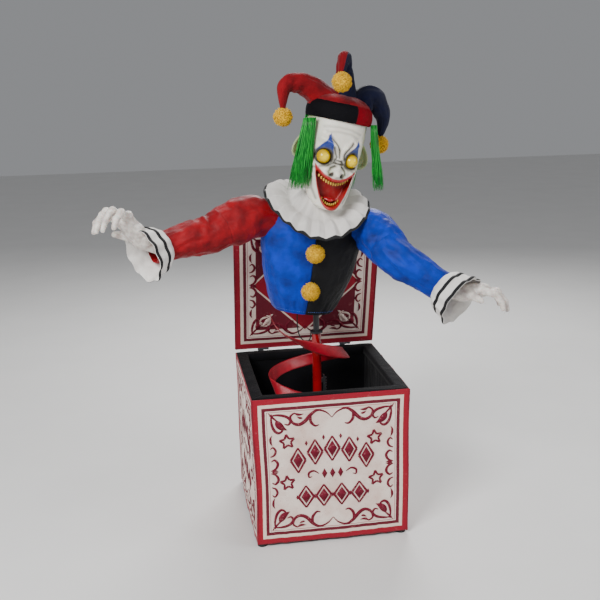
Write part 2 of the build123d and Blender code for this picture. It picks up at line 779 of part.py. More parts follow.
def make_head_frame():
    """Post on the head motor's shaft with the cross bar that holds the jaw pin."""
    frame = rod((0, neck_y, -120), (0, neck_y, -104), 14)
    frame += block(-10, 10, neck_y - 8, neck_y + 8, -110, 96)
    frame += block(-jaw_arm_x + 4, jaw_arm_x - 4, jaw_pivot_y - 6, neck_y, jaw_pivot_z - 7, jaw_pivot_z + 7)
    pin_reach = jaw_arm_x + 5
    frame += rod((-pin_reach, jaw_pivot_y, jaw_pivot_z), (pin_reach, jaw_pivot_y, jaw_pivot_z), jaw_pin_radius)
    frame -= rod((0, neck_y, -120), (0, neck_y, -100), 5)
    frame += block(-60, 60, eye_depth + 24, eye_depth + 27, eye_height - 14, eye_height + 14)
    frame += block(-6, 6, eye_depth + 27, neck_y, eye_height - 6, eye_height + 6)
    frame += oval_loft(head_sections, mask_wall + 1) & block(-120, 120, -120, 120, 86, 90)
    keep("head_frame", head_place * (frame - rod((0, neck_y, -122), (0, neck_y, -100), 5)))
    motor = block(-20, 20, neck_y - 18, neck_y + 18, -152, -124)
    motor += rod((0, neck_y, -126), (0, neck_y, -101), 5 - running_clearance)
    bar_top = shoulder_height + bar_height / 2
    bracket = torso_place * block(-20, 44, -16, 24, bar_top, bar_top + 16)
    keep("head_motor", (head_place * motor) + bracket)


def make_hair():
    """The straight green lock that hangs at each temple."""
    left = cone((-46, -62, 1332), (-60, -60, 1142), 13, 20)
    right = cone((186, -62, 1296), (202, -62, 1120), 13, 18)
    keep("hair_locks", left, right)


def horn(base, bends, radii):
    """A soft stuffed horn that rises from the hat's crown and bends through those points."""
    seat = head_place * Pos(*base, band_top + 1)
    path = Spline(seat.position, *bends, tangents=[head_up, Vector(bends[-1]) - Vector(bends[-2])])
    count = len(radii)
    rounds = []
    for number, radius in enumerate(radii):
        share = number / (count - 1)
        rounds.append(Plane(path @ share, z_dir=path % share) * Circle(radius))
    return loft(rounds)


def make_hat():
    """Two-colour band, three stuffed horns and their pom-poms."""
    outer = rod((0, 0, band_bottom), (0, 0, band_top), band_radius)
    hole = oval_loft(head_sections) + rod((0, 0, band_top - 24), (0, 0, band_top - 6), 70)
    band = head_place * (outer - hole)
    keep("hat_band", band)
    centres = [(-99, -40, 1336), (63, -150, 1437), (217, 10, 1239)]
    balls = [ball(centre, hat_pompom_radius) for centre in centres]
    left = horn((-52, 4), [(-30, -20, 1432), (-88, -32, 1428), (-99, -40, 1362)], (50, 44, 34, 20, 12))
    centre = horn((14, -4), [(98, -24, 1470), (88, -76, 1508), (65, -132, 1456)], (56, 50, 40, 24, 14))
    right = horn((54, 6), [(190, -4, 1386), (226, 2, 1328), (219, 8, 1264)], (46, 42, 32, 20, 12))
    centre -= left
    right -= left
    right -= centre
    for name, shape in (("left", left), ("centre", centre), ("right", right)):
        shape -= band
        for sphere in balls:
            shape -= sphere
        keep("hat_horn_" + name, max(shape.solids(), key=lambda solid: solid.volume))
    keep("hat_pompoms", *balls)


make_feet()
make_base_frame()
make_upper_frame()
make_cover()
make_lid()
make_lid_hinges()
make_outer_mast()
make_inner_mast()
make_pinion()
make_gear_motor()
make_control_box()
make_lead()
make_ribbon()
make_swivel()
make_shoulder_bar()
make_tunic()
make_collar()
make_arm("left", left_shoulder, left_elbow, left_wrist, (-612, -162, 1078), (-652, -205, 1010))
make_arm("right", right_shoulder, right_elbow, right_wrist, (486, -262, 808), (520, -285, 740))
make_mask()
make_head_frame()
make_hair()
make_hat()

os.makedirs("parts", exist_ok=True)
for name, shape in parts.items():
    export_step(shape, "parts/" + name + ".step")
print(len(parts), "sub-parts")
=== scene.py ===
from math import cos, exp, hypot, pi, radians, sin, sqrt, tau
from random import Random

import bpy
from mathutils import Matrix, Vector, noise


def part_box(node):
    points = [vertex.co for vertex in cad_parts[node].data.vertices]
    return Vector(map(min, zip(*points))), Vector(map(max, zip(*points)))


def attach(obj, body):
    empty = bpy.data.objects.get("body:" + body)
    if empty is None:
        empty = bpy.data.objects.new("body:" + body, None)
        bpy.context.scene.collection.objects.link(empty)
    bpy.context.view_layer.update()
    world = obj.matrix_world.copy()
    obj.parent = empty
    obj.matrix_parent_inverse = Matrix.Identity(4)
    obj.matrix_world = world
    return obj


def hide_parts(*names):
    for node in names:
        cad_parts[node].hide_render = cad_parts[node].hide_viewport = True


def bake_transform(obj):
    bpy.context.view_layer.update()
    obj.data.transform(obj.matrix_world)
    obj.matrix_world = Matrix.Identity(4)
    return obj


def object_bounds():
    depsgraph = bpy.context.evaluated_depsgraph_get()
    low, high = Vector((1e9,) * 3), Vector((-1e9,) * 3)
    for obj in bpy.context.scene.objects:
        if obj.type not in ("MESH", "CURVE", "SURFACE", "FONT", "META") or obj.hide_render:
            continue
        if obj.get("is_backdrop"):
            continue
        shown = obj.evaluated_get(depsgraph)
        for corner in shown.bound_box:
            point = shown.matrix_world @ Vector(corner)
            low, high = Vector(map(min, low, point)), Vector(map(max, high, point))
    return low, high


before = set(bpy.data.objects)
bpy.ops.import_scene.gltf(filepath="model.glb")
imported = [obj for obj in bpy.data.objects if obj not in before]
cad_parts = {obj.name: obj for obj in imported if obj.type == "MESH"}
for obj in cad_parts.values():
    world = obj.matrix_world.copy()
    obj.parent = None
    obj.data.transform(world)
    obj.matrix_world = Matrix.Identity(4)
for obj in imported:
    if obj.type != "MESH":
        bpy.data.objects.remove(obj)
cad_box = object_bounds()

MM = 0.001


# Places ---------------------------------------------------------------------------------------
def at(x, y, z):
    """A point given in millimetres."""
    return Vector((x, y, z)) * MM


torso = Matrix.Translation(at(-47, 0, 700)) @ Matrix.Rotation(radians(8), 4, "Y")
head_turned = Matrix.Rotation(radians(4), 4, "Z") @ Matrix.Rotation(radians(13), 4, "Y")
head = Matrix.Translation(at(50, -15, 1200)) @ head_turned
lid_hinge = at(0, 258, 507)
EYE_X = 44.6  # an eye's place on the head, across and up, in mm
EYE_Z = 8
MOUTH_HALF = 61  # the mouth's half width, in mm
BOX_HALF = 250  # half of the box's width, in mm
FLAP_MIDDLE = 258  # from the lid's hinge to the middle of the flap, in mm
lid_leant = Matrix.Rotation(radians(14.4), 4, "X")
lid = Matrix.Translation(lid_hinge) @ lid_leant @ Matrix.Translation(at(0, -8, 0))


def clamp(value, low=0.0, high=1.0):
    return max(low, min(high, value))


def ease(low, high, value):
    """0 below low, 1 above high and smooth between."""
    share = clamp((value - low) / (high - low))
    return share * share * (3 - 2 * share)


def bump(value, middle, spread):
    return exp(-(((value - middle) / spread) ** 2))


def ripple(x, y, z=0.0):
    """Smooth uneven waves from about -1 to 1."""
    return noise.fractal(Vector((x, y, z)), 0.9, 2.0, 3)


def along(rows, where):
    """The values of a table at a place in its first column, smoothly between its rows."""
    place = 1
    while place < len(rows) - 1 and rows[place][0] < where:
        place += 1
    a, b = rows[place - 1], rows[place]
    before, after = rows[max(place - 2, 0)], rows[min(place + 1, len(rows) - 1)]
    s = clamp((where - a[0]) / (b[0] - a[0]))
    found = []
    for p, q, r, t in zip(before[1:], a[1:], b[1:], after[1:]):
        found.append(q + 0.5 * s * (r - p + s * (2 * p - 5 * q + 4 * r - t + s * (3 * (q - r) + t - p))))
    return found


# Modelling ------------------------------------------------------------------------------------
def deselect():
    bpy.ops.object.select_all(action="DESELECT")


def select_only(piece):
    deselect()
    piece.select_set(True)
    bpy.context.view_layer.objects.active = piece


def modify(piece, kind, **settings):
    """Adds a modifier and applies it."""
    select_only(piece)
    made = piece.modifiers.new(kind.lower(), kind)
    for setting, value in settings.items():
        setattr(made, setting, value)
    bpy.ops.object.modifier_apply(modifier=made.name)
    return piece


def smooth(piece):
    select_only(piece)
    bpy.ops.object.shade_smooth()
    return piece


def merge(piece, distance=0.00002):
    select_only(piece)
    bpy.ops.object.mode_set(mode="EDIT")
    bpy.ops.mesh.select_all(action="SELECT")
    bpy.ops.mesh.remove_doubles(threshold=distance)
    bpy.ops.object.mode_set(mode="OBJECT")
    return piece


def face_outwards(piece):
    select_only(piece)
    bpy.ops.object.mode_set(mode="EDIT")
    bpy.ops.mesh.select_all(action="SELECT")
    bpy.ops.mesh.normals_make_consistent(inside=False)
    bpy.ops.object.mode_set(mode="OBJECT")


def close_ends(piece):
    """Fills each open end with one face."""
    select_only(piece)
    bpy.ops.object.mode_set(mode="EDIT")
    bpy.ops.mesh.select_all(action="DESELECT")
    bpy.ops.mesh.select_non_manifold()
    bpy.ops.mesh.fill_holes(sides=0)
    bpy.ops.object.mode_set(mode="OBJECT")


def shaped(name, columns, rows, place, size=(1.0, 1.0), closed=False):
    """A grid whose points are moved by place(u, v), with a UV map in metres of cloth."""
    deselect()
    bpy.ops.mesh.primitive_grid_add(x_subdivisions=columns, y_subdivisions=rows, size=2)
    piece = bpy.context.object
    piece.name = piece.data.name = name
    for vertex in piece.data.vertices:
        vertex.co = place(vertex.co.x * 0.5 + 0.5, vertex.co.y * 0.5 + 0.5)
    for corner in piece.data.uv_layers.active.data:
        corner.uv = (corner.uv.x * size[0], corner.uv.y * size[1])
    if closed:
        merge(piece)
    return smooth(piece)


def smooth_line(points, count):
    """That many points on a smooth line through a few."""
    rows = [(number, *point) for number, point in enumerate(points)]
    last = len(points) - 1
    return [Vector(along(rows, last * step / (count - 1))) for step in range(count)]


def crossings(line):
    """Each point of a line with two directions across it that do not twist."""
    found = []
    across = Vector((0.12, 0.2, 1))
    for step, point in enumerate(line):
        way = (line[min(step + 1, len(line) - 1)] - line[max(step - 1, 0)]).normalized()
        across = (across - way * across.dot(way)).normalized()
        found.append((point, across, way.cross(across)))
    return found


def round_point(ring, radius, u):
    """A point at a radius from a ring's middle, u of the way round it."""
    point, across, aside = ring
    return point + across * (radius * cos(tau * u)) + aside * (radius * sin(tau * u))


def tube_round(name, line, radius, around, size):
    """A tube of cloth round a line; radius(turn, share) is in metres."""
    rings = crossings(line)
    last = len(rings) - 1

    def place(u, v):
        return round_point(rings[round(v * last)], radius(u, v), u)

    return shaped(name, around, last, place, size, closed=True)


def joined(name, pieces):
    deselect()
    for piece in pieces:
        piece.select_set(True)
    bpy.context.view_layer.objects.active = pieces[0]
    bpy.ops.object.join()
    pieces[0].name = pieces[0].data.name = name
    return pieces[0]


def from_faces(name, points, faces):
    mesh = bpy.data.meshes.new(name)
    mesh.from_pydata(points, [], faces)
    piece = bpy.data.objects.new(name, mesh)
    bpy.context.scene.collection.objects.link(piece)
    return piece


def give(piece, material, body=None, slot=None, nodes=()):
    """A piece's finish, the body it rides on, its slot and the nodes it stands for; the slot is not used."""
    piece.data.materials.clear()
    piece.data.materials.append(material)
    if body:
        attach(piece, body)
    if nodes:
        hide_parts(*nodes)
    return piece


# Finishes -------------------------------------------------------------------------------------
def tint(code):
    """A colour written in hex, as linear light."""
    channels = [int(code[place:place + 2], 16) / 255 for place in (1, 3, 5)]
    linear = [c / 12.92 if c <= 0.04045 else ((c + 0.055) / 1.055) ** 2.4 for c in channels]
    return (*linear, 1.0)


def add(tree, kind, feeds, **settings):
    """A node of that kind with its settings, fed by values or by other nodes' sockets."""
    made = tree.nodes.new("ShaderNode" + kind)
    for setting, value in settings.items():
        setattr(made, setting, value)
    for socket, value in feeds.items():
        if isinstance(value, bpy.types.NodeSocket):
            tree.links.new(value, made.inputs[socket])
        else:
            made.inputs[socket].default_value = value
    return made


def finish(name, **constants):
    """A new material and its shader, with the sockets that are the same all over."""
    made = bpy.data.materials.new(name)
    made.use_nodes = True
    shader = made.node_tree.nodes["Principled BSDF"]
    for socket, value in constants.items():
        shader.inputs[socket.replace("_", " ")].default_value = value
    return made, made.node_tree, shader


def hard(name, colour, worn, patch_mm, grain_mm, grain_depth_mm, rough=(0.3, 0.5), **constants):
    """Enamel, plastic, rubber or plate: two close colours in patches and a fine grain."""
    made, tree, shader = finish(name, **constants)
    place = add(tree, "TexCoord", {}).outputs["Object"]
    patches = add(tree, "TexNoise", {"Vector": place, "Scale": 1 / (patch_mm * MM), "Detail": 4.0})
    grain = add(tree, "TexNoise", {"Vector": place, "Scale": 1 / (grain_mm * MM), "Detail": 2.0})
    share = add(tree, "MapRange", {"Value": patches.outputs["Fac"], "From Min": 0.38, "From Max": 0.66})
    mixed = add(tree, "Mix", {0: share.outputs[0], 6: tint(colour), 7: tint(worn)}, data_type="RGBA")
    tree.links.new(mixed.outputs[2], shader.inputs["Base Color"])
    shine = add(tree, "MapRange", {"Value": patches.outputs["Fac"], "To Min": rough[0], "To Max": rough[1]})
    tree.links.new(shine.outputs[0], shader.inputs["Roughness"])
    feeds = {"Height": grain.outputs["Fac"], "Distance": grain_depth_mm * MM, "Strength": 0.6}
    relief = add(tree, "Bump", feeds)
    tree.links.new(relief.outputs["Normal"], shader.inputs["Normal"])
    return made


def woven_relief(tree, place, thread_mm, depth_mm, fold):
    """Threads over and under, with a crumple that is larger than the threads."""
    size = 1 / (thread_mm * MM) * 0.5 / pi * 3.2
    warp = add(tree, "TexWave", {"Vector": place, "Scale": size}, bands_direction="X")
    weft = add(tree, "TexWave", {"Vector": place, "Scale": size}, bands_direction="Y")
    cross = add(tree, "Math", {0: warp.outputs["Fac"], 1: weft.outputs["Fac"]}, operation="MULTIPLY")
    crumple = add(tree, "TexNoise", {"Vector": place, "Scale": 60.0, "Detail": 5.0, "Roughness": 0.6})
    first = add(tree, "Bump", {"Height": cross.outputs[0], "Distance": depth_mm * MM, "Strength": 0.5})
    feeds = {"Height": crumple.outputs["Fac"], "Distance": fold * MM, "Strength": 0.5}
    return add(tree, "Bump", {**feeds, "Normal": first.outputs["Normal"]}).outputs["Normal"]


def cloth(name, colour, shade, thread_mm, rough, fold=2.0, **constants):
    """Woven cloth: an uneven dye, threads and a crumpled nap."""
    made, tree, shader = finish(name, **constants)
    place = add(tree, "TexCoord", {}).outputs["UV"]
    dye = add(tree, "TexNoise", {"Vector": place, "Scale": 14.0, "Detail": 6.0, "Roughness": 0.6})
    share = add(tree, "MapRange", {"Value": dye.outputs["Fac"], "From Min": 0.36, "From Max": 0.68})
    mixed = add(tree, "Mix", {0: share.outputs[0], 6: tint(colour), 7: tint(shade)}, data_type="RGBA")
    tree.links.new(mixed.outputs[2], shader.inputs["Base Color"])
    shine = add(tree, "MapRange", {"Value": dye.outputs["Fac"], "To Min": rough[0], "To Max": rough[1]})
    tree.links.new(shine.outputs[0], shader.inputs["Roughness"])
    tree.links.new(woven_relief(tree, place, thread_mm, 0.25, fold), shader.inputs["Normal"])
    return made


CRIMSON = "#970A25"
DARK_CRIMSON = "#640A22"
CREAM = "#E9D3C4"
PALE_CREAM = "#F2E2D6"


def printed(name, bands, with_diamond=False):
    """Printed polyester: a distressed cream ground inside crimson and cream bands."""
    made, tree, shader = finish(name, Sheen_Weight=0.15, Specular_IOR_Level=0.25)
    place = add(tree, "TexCoord", {}).outputs["UV"]
    waver = add(tree, "TexNoise", {"Vector": place, "Scale": 90.0, "Detail": 2.0})
    parts = add(tree, "SeparateXYZ", {"Vector": place})
    sides = []
    for socket in ("X", "Y"):
        middle = add(tree, "Math", {0: parts.outputs[socket], 1: 0.25}, operation="SUBTRACT")
        sides.append(add(tree, "Math", {0: middle.outputs[0]}, operation="ABSOLUTE").outputs[0])
    farthest = add(tree, "Math", {0: sides[0], 1: sides[1]}, operation="MAXIMUM")
    inset = add(tree, "Math", {0: 0.25, 1: farthest.outputs[0]}, operation="SUBTRACT")
    drift = add(tree, "Math", {0: waver.outputs["Fac"], 1: 0.0016, 2: -0.0008}, operation="MULTIPLY_ADD")
    edge = add(tree, "Math", {0: inset.outputs[0], 1: drift.outputs[0]}, operation="ADD").outputs[0]
    stain = add(tree, "TexNoise", {"Vector": place, "Scale": 9.0, "Detail": 6.0, "Roughness": 0.65})
    stained = add(tree, "MapRange", {"Value": stain.outputs["Fac"], "From Min": 0.4, "From Max": 0.72})
    colour = add(
        tree,
        "Mix",
        {0: stained.outputs[0], 6: tint(PALE_CREAM), 7: tint("#D9B5A8")},
        data_type="RGBA",
    ).outputs[2]
    speck = add(tree, "TexNoise", {"Vector": place, "Scale": 260.0, "Detail": 3.0, "Roughness": 0.7})
    specks = add(tree, "MapRange", {"Value": speck.outputs["Fac"], "From Min": 0.63, "From Max": 0.7})
    layers = [(specks.outputs[0], "#A4566A")]
    if with_diamond:
        feeds = {"Value": farthest.outputs[0], "From Min": 0.1775, "From Max": 0.1765}
        square = add(tree, "MapRange", feeds)
        layers += [(square.outputs[0], "#6B1226")]
        taxi = add(tree, "Math", {0: sides[0], 1: sides[1]}, operation="ADD")
        for reach, code in ((0.194, CREAM), (0.186, CRIMSON)):
            feeds = {"Value": taxi.outputs[0], "From Min": reach, "From Max": reach - 0.001}
            inner = add(tree, "MapRange", feeds)
            layers.append((inner.outputs[0], code))
    for reach, code in bands:
        rim = add(tree, "MapRange", {"Value": edge, "From Min": reach * MM, "From Max": reach * MM - 0.001})
        layers.append((rim.outputs[0], code))
    wear = add(tree, "TexNoise", {"Vector": place, "Scale": 40.0, "Detail": 6.0, "Roughness": 0.75})
    feeds = {"Value": wear.outputs["Fac"], "From Min": 0.58, "From Max": 0.8, "To Max": 0.4}
    layers.append((add(tree, "MapRange", feeds).outputs[0], "#C98F8C"))
    for share, code in layers:
        colour = add(tree, "Mix", {0: share, 6: colour, 7: tint(code)}, data_type="RGBA").outputs[2]
    tree.links.new(colour, shader.inputs["Base Color"])
    shine = add(tree, "MapRange", {"Value": wear.outputs["Fac"], "To Min": 0.62, "To Max": 0.85})
    tree.links.new(shine.outputs[0], shader.inputs["Roughness"])
    tree.links.new(woven_relief(tree, place, 1.6, 0.3, 2.5), shader.inputs["Normal"])
    return made


border = ((46.0, CRIMSON), (44.2, PALE_CREAM), (41.0, DARK_CRIMSON), (30.0, CREAM), (19.0, CRIMSON))
# Printed polyester cover: worn ink on a cream ground, so that the walls read as cloth and not paper
printed_cover = printed("printed_polyester_cover", border)
# The flap's inner cover has the same border round a dark square and a brighter diamond
printed_flap = printed("printed_polyester_flap", border, with_diamond=True)

# Black polyester twill of the rim and lining: takes the light softly, with a pale nap on its folds
twill_sheen = {"Sheen_Weight": 0.04, "Specular_IOR_Level": 0.15}
black_twill = cloth("black_polyester_twill", "#060608", "#0E0D12", 1.6, (0.75, 0.95), 3.0, **twill_sheen)
# Acetate satin: bright along the folds and nearly black between them
satin_sheen = {"Sheen_Weight": 0.06, "Specular_IOR_Level": 0.2}
blue_satin = cloth("royal_blue_acetate_satin", "#0434B8", "#021C66", 0.9, (0.42, 0.58), 2.2, **satin_sheen)
red_satin = cloth("red_acetate_satin", "#9A0212", "#5E010A", 0.9, (0.42, 0.58), 2.2, **satin_sheen)
satin_sheen["Sheen_Weight"] = 0.05
black_satin = cloth("black_acetate_satin", "#050507", "#0C0C11", 0.9, (0.45, 0.6), 2.2, **satin_sheen)
# Velvet of the hat: a matt pile that goes darker where it lies flat
velvet_sheen = {"Sheen_Weight": 0.1, "Specular_IOR_Level": 0.15}
navy_velvet = cloth("navy_velvet", "#04071E", "#0A1030", 1.2, (0.7, 0.9), 2.6, **velvet_sheen)
velvet_sheen["Sheen_Weight"] = 0.08
red_velvet = cloth("red_velvet", "#860210", "#520108", 1.2, (0.65, 0.85), 2.6, **velvet_sheen)
# Thin goods: ribbon, cotton frills, piping and braid
ribbon_satin = cloth("red_ribbon_satin", "#AE0A24", "#740616", 0.8, (0.3, 0.45), 1.2, Sheen_Weight=0.06)
white_cotton = cloth("white_cotton_lawn", "#F1EFEA", "#D9D4CF", 1.0, (0.75, 0.92), 2.0, Sheen_Weight=0.1)
piping = cloth("crimson_piping", CRIMSON, DARK_CRIMSON, 1.6, (0.6, 0.8), 1.0)
black_braid = cloth("black_braid", "#060608", "#100F14", 1.6, (0.7, 0.9), 1.5)

# Screen-printed ink: flat crimson that has cracked and let the cream through
ink, tree, shader = finish("cracked_crimson_ink", Specular_IOR_Level=0.25)
spot = add(tree, "TexCoord", {}).outputs["Object"]
crack = add(tree, "TexNoise", {"Vector": spot, "Scale": 120.0, "Detail": 6.0, "Roughness": 0.8})
feeds = {"Value": crack.outputs["Fac"], "From Min": 0.56, "From Max": 0.66, "To Max": 0.55}
cracked = add(tree, "MapRange", feeds)
inked = add(tree, "Mix", {0: cracked.outputs[0], 6: tint("#6E0B26"), 7: tint("#CFA09A")}, data_type="RGBA")
tree.links.new(inked.outputs[2], shader.inputs["Base Color"])
matt = add(tree, "MapRange", {"Value": crack.outputs["Fac"], "To Min": 0.6, "To Max": 0.85})
tree.links.new(matt.outputs[0], shader.inputs["Roughness"])
# Cream ink of the flap's corner flowers
pale_ink = hard("cream_ink", "#EBD9CC", "#D4B0A6", 9, 1.5, 0.1, (0.6, 0.85))

# Satin black enamel of the bent steel tubes: a soft even gloss with a little orange peel
black_enamel = hard("satin_black_enamel", "#1A1A1D", "#242428", 60, 3, 0.08, (0.32, 0.48), Coat_Weight=0.15)
# Gloss red enamel of the outer mast
red_enamel = hard("gloss_red_enamel", "#9E0F16", "#7E0C12", 60, 3, 0.06, (0.18, 0.34), Coat_Weight=0.4)
# Passivated zinc: blue-grey spangle
zinc = hard("passivated_zinc", "#A9ADB3", "#8C9097", 8, 1.2, 0.05, (0.25, 0.45), Metallic=1.0)
# Moulded ABS: matt black with a spark-eroded grain
black_abs = hard("moulded_black_abs", "#1B1B1E", "#26262A", 30, 0.9, 0.12, (0.45, 0.62))
red_button_abs = hard("gloss_red_abs", "#B5131B", "#960F16", 12, 0.8, 0.03, (0.15, 0.25), Coat_Weight=0.3)
foot_rubber = hard("black_foot_rubber", "#161616", "#262524", 10, 0.8, 0.15, (0.8, 0.95))
lead_rubber = hard("black_lead_rubber", "#141414", "#212121", 10, 0.6, 0.08, (0.55, 0.7))
soft_bone = {"Subsurface_Weight": 0.1}
tooth_resin = hard("yellowed_tooth_resin", "#D9B44A", "#A87B22", 4, 1.0, 0.1, (0.2, 0.4), **soft_bone)
claw_resin = hard("aged_claw_resin", "#B9AFA0", "#8C8172", 4, 1.0, 0.1, (0.25, 0.45))
mouth_latex = hard("wet_red_latex", "#B0020A", "#8A0208", 14, 3, 0.4, (0.18, 0.35), Coat_Weight=0.3)
tongue_latex = hard("wet_tongue_latex", "#B01722", "#8A0E18", 9, 1.5, 0.5, (0.2, 0.35), Coat_Weight=0.4)
soft_skin = {"Subsurface_Weight": 0.08}
hand_latex = hard("pale_painted_latex", "#E6E0D8", "#BDB2AB", 16, 1.6, 0.35, (0.42, 0.6), **soft_skin)

# Yarn pom-poms: thick yellow wool, with painted shade that darkens it between the cut ends
yarn, tree, shader = finish("cut_yellow_yarn", Roughness=0.9, Sheen_Weight=0.1)
spot = add(tree, "TexCoord", {}).outputs["Object"]
tufts = add(tree, "TexVoronoi", {"Vector": spot, "Scale": 260.0})
# Painted shade: the yarn goes darker where it lies deep between the tufts
deep = add(tree, "MapRange", {"Value": tufts.outputs["Distance"], "From Min": 0.1, "From Max": 0.8})
wool = add(tree, "Mix", {0: deep.outputs[0], 6: tint("#F0C000"), 7: tint("#C09000")}, data_type="RGBA")
tree.links.new(wool.outputs[2], shader.inputs["Base Color"])
feeds = {"Height": tufts.outputs["Distance"], "Distance": 0.0012, "Strength": 0.7}
fuzz = add(tree, "Bump", feeds, invert=True)
tree.links.new(fuzz.outputs["Normal"], shader.inputs["Normal"])

# Nylon hair: bright green with lighter and darker strands
hair_nylon, tree, shader = finish("green_nylon_hair", Roughness=0.38)
spot = add(tree, "TexCoord", {}).outputs["Object"]
stretched = add(tree, "Mapping", {"Vector": spot, "Scale": (420.0, 420.0, 14.0)})
strands = add(tree, "TexNoise", {"Vector": stretched.outputs[0], "Scale": 1.0, "Detail": 3.0})
pick = add(tree, "MapRange", {"Value": strands.outputs["Fac"], "From Min": 0.35, "From Max": 0.65})
green = add(tree, "Mix", {0: pick.outputs[0], 6: tint("#045A16"), 7: tint("#1FB03A")}, data_type="RGBA")
tree.links.new(green.outputs[2], shader.inputs["Base Color"])

# Lit eye domes: clear yellow plastic over a lamp, pale where the lamp is near
eye_light, tree, shader = finish("lit_yellow_dome", Roughness=0.2, Emission_Strength=0.22)
spot = add(tree, "TexCoord", {}).outputs["Object"]
nearest = []
for side in (-1, 1):
    pole = head @ at(side * EYE_X, -104, EYE_Z)
    nearest.append(add(tree, "VectorMath", {0: spot, 1: pole}, operation="DISTANCE").outputs["Value"])
near = add(tree, "Math", {0: nearest[0], 1: nearest[1]}, operation="MINIMUM")
cloudy = add(tree, "TexNoise", {"Vector": spot, "Scale": 160.0, "Detail": 3.0})
uneven = add(tree, "Math", {0: cloudy.outputs["Fac"], 1: 0.006, 2: near.outputs[0]}, operation="MULTIPLY_ADD")
glow = add(tree, "MapRange", {"Value": uneven.outputs[0], "From Min": 0.005, "From Max": 0.024})
amber = add(tree, "Mix", {0: glow.outputs[0], 6: tint("#F0D000"), 7: tint("#B08C00")}, data_type="RGBA")
tree.links.new(amber.outputs[2], shader.inputs["Base Color"])
tree.links.new(amber.outputs[2], shader.inputs["Emission Color"])

# Painted latex of the mask: the paint and the painted shade are on the mesh, over fine pores
mask_latex, tree, shader = finish("painted_mask_latex", Subsurface_Weight=0.05)
paint_and_shade = add(tree, "Attribute", {}, attribute_name="paint_and_shade")
spot = add(tree, "TexCoord", {}).outputs["Object"]
blotch = add(tree, "TexNoise", {"Vector": spot, "Scale": 70.0, "Detail": 5.0, "Roughness": 0.6})
feeds = {"Value": blotch.outputs["Fac"], "From Min": 0.45, "From Max": 0.75, "To Max": 0.16}
grey = add(tree, "MapRange", feeds)
feeds = {0: grey.outputs[0], 6: paint_and_shade.outputs["Color"], 7: tint("#8C8A78")}
dirty = add(tree, "Mix", feeds, data_type="RGBA")
tree.links.new(dirty.outputs[2], shader.inputs["Base Color"])
pores = add(tree, "TexNoise", {"Vector": spot, "Scale": 420.0, "Detail": 3.0})
skin = add(tree, "Bump", {"Height": pores.outputs["Fac"], "Distance": 0.0005, "Strength": 0.6})
tree.links.new(skin.outputs["Normal"], shader.inputs["Normal"])
damp = add(tree, "MapRange", {"Value": blotch.outputs["Fac"], "To Min": 0.34, "To Max": 0.55})
tree.links.new(damp.outputs[0], shader.inputs["Roughness"])

node_finishes = {
    "black_enamel": (
        black_enamel,
        "base_frame corner_posts top_rails lid_frame mast_socket inner_mast shoulder_bar "
        "left_upper_arm left_forearm right_upper_arm right_forearm",
    ),
    "red_enamel": (red_enamel, "outer_mast"),
    "zinc": (zinc, "lid_hinges_fixed lid_hinges_moving lift_rack drive_pinion motor_bracket swivel_bracket"),
    "plastic": (
        black_abs,
        "corner_joiners mast_bush turn_motor gear_motor control_box sway_motor head_frame head_motor",
    ),
    "button": (red_button_abs, "try_button"),
    "rubber": (foot_rubber, "feet"),
    "eyes": (eye_light, "eye_domes"),
}
for material, names in node_finishes.values():
    for name in names.split():
        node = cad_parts[name]
        node.data.materials.clear()
        node.data.materials.append(material)


# Box cover ------------------------------------------------------------------------------------
cover_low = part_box("front_panel")[0]


def corner_shift(corner, z):
    """How far a corner of the cover gives inwards at a height, in mm."""
    lift = (z - 10) / 490
    slack = sin(pi * lift) * (2.5 + 2.0 * sin(3.1 * corner + 5 * lift)) + 3.5 * (1 - lift) ** 2
    return slack if corner else slack * 1.6


def wall_wrinkle(wall, x, z):
    """How far the cloth of a wall stands out from flat, in mm."""
    lift = z / 490
    fade = 1 - (abs(x) / 250) ** 6
    folds = 1.6 * ripple(x / 70 + 9 * wall, z / 130, wall)
    pull = (1 - lift) ** 3 * 2.6 * ripple(x / 28 + 5 * wall, z / 90, 4)
    gather = ease(440, 490, z) * 1.5 * ripple(x / 22, z / 60, wall + 7)
    drape = -2.4 * sin(pi * lift) * fade + 1.3 * sin(x / 55 + z / 38 + wall) * (1 - lift) * 0.6
    return fade * (folds + pull + gather) + drape


walls = {
    "front": (0, (0, -1), (1, 0), (0, 1)),
    "right": (1, (1, 0), (0, 1), (1, 2)),
    "back": (2, (0, 1), (-1, 0), (2, 3)),
    "left": (3, (-1, 0), (0, -1), (3, 0)),
}
outward = [(-1, -1), (1, -1), (1, 1), (-1, 1)]


def wall_point(side, x, z, lift=0.0):
    """A point on a wall, x across from its middle and z up from its foot, in mm."""
    number, face, right, corners = walls[side]
    share = x / 500 + 0.5
    out = 250 - 0.4 + wall_wrinkle(number, x, z) + lift
    px = face[0] * out + right[0] * x
    py = face[1] * out + right[1] * x
    for corner, weight in ((corners[0], (1 - share) ** 5), (corners[1], share ** 5)):
        inward = corner_shift(corner, z + 10) * weight
        px -= outward[corner][0] * inward
        py -= outward[corner][1] * inward
    return at(px, py, z + cover_low.z / MM)


wall_nodes = {"front": "front_panel", "back": "back_panel", "left": "side_panels", "right": "side_panels"}
for side in walls:
    panel = shaped(
        "cover_" + side,
        100,
        98,
        lambda u, v, side=side: wall_point(side, u * 500 - 250, v * 490),
        (0.5, 0.5),
    )
    modify(panel, "SOLIDIFY", thickness=0.0022, offset=-1)
    give(panel, printed_cover, "box", "printed_cover", [wall_nodes[side]])


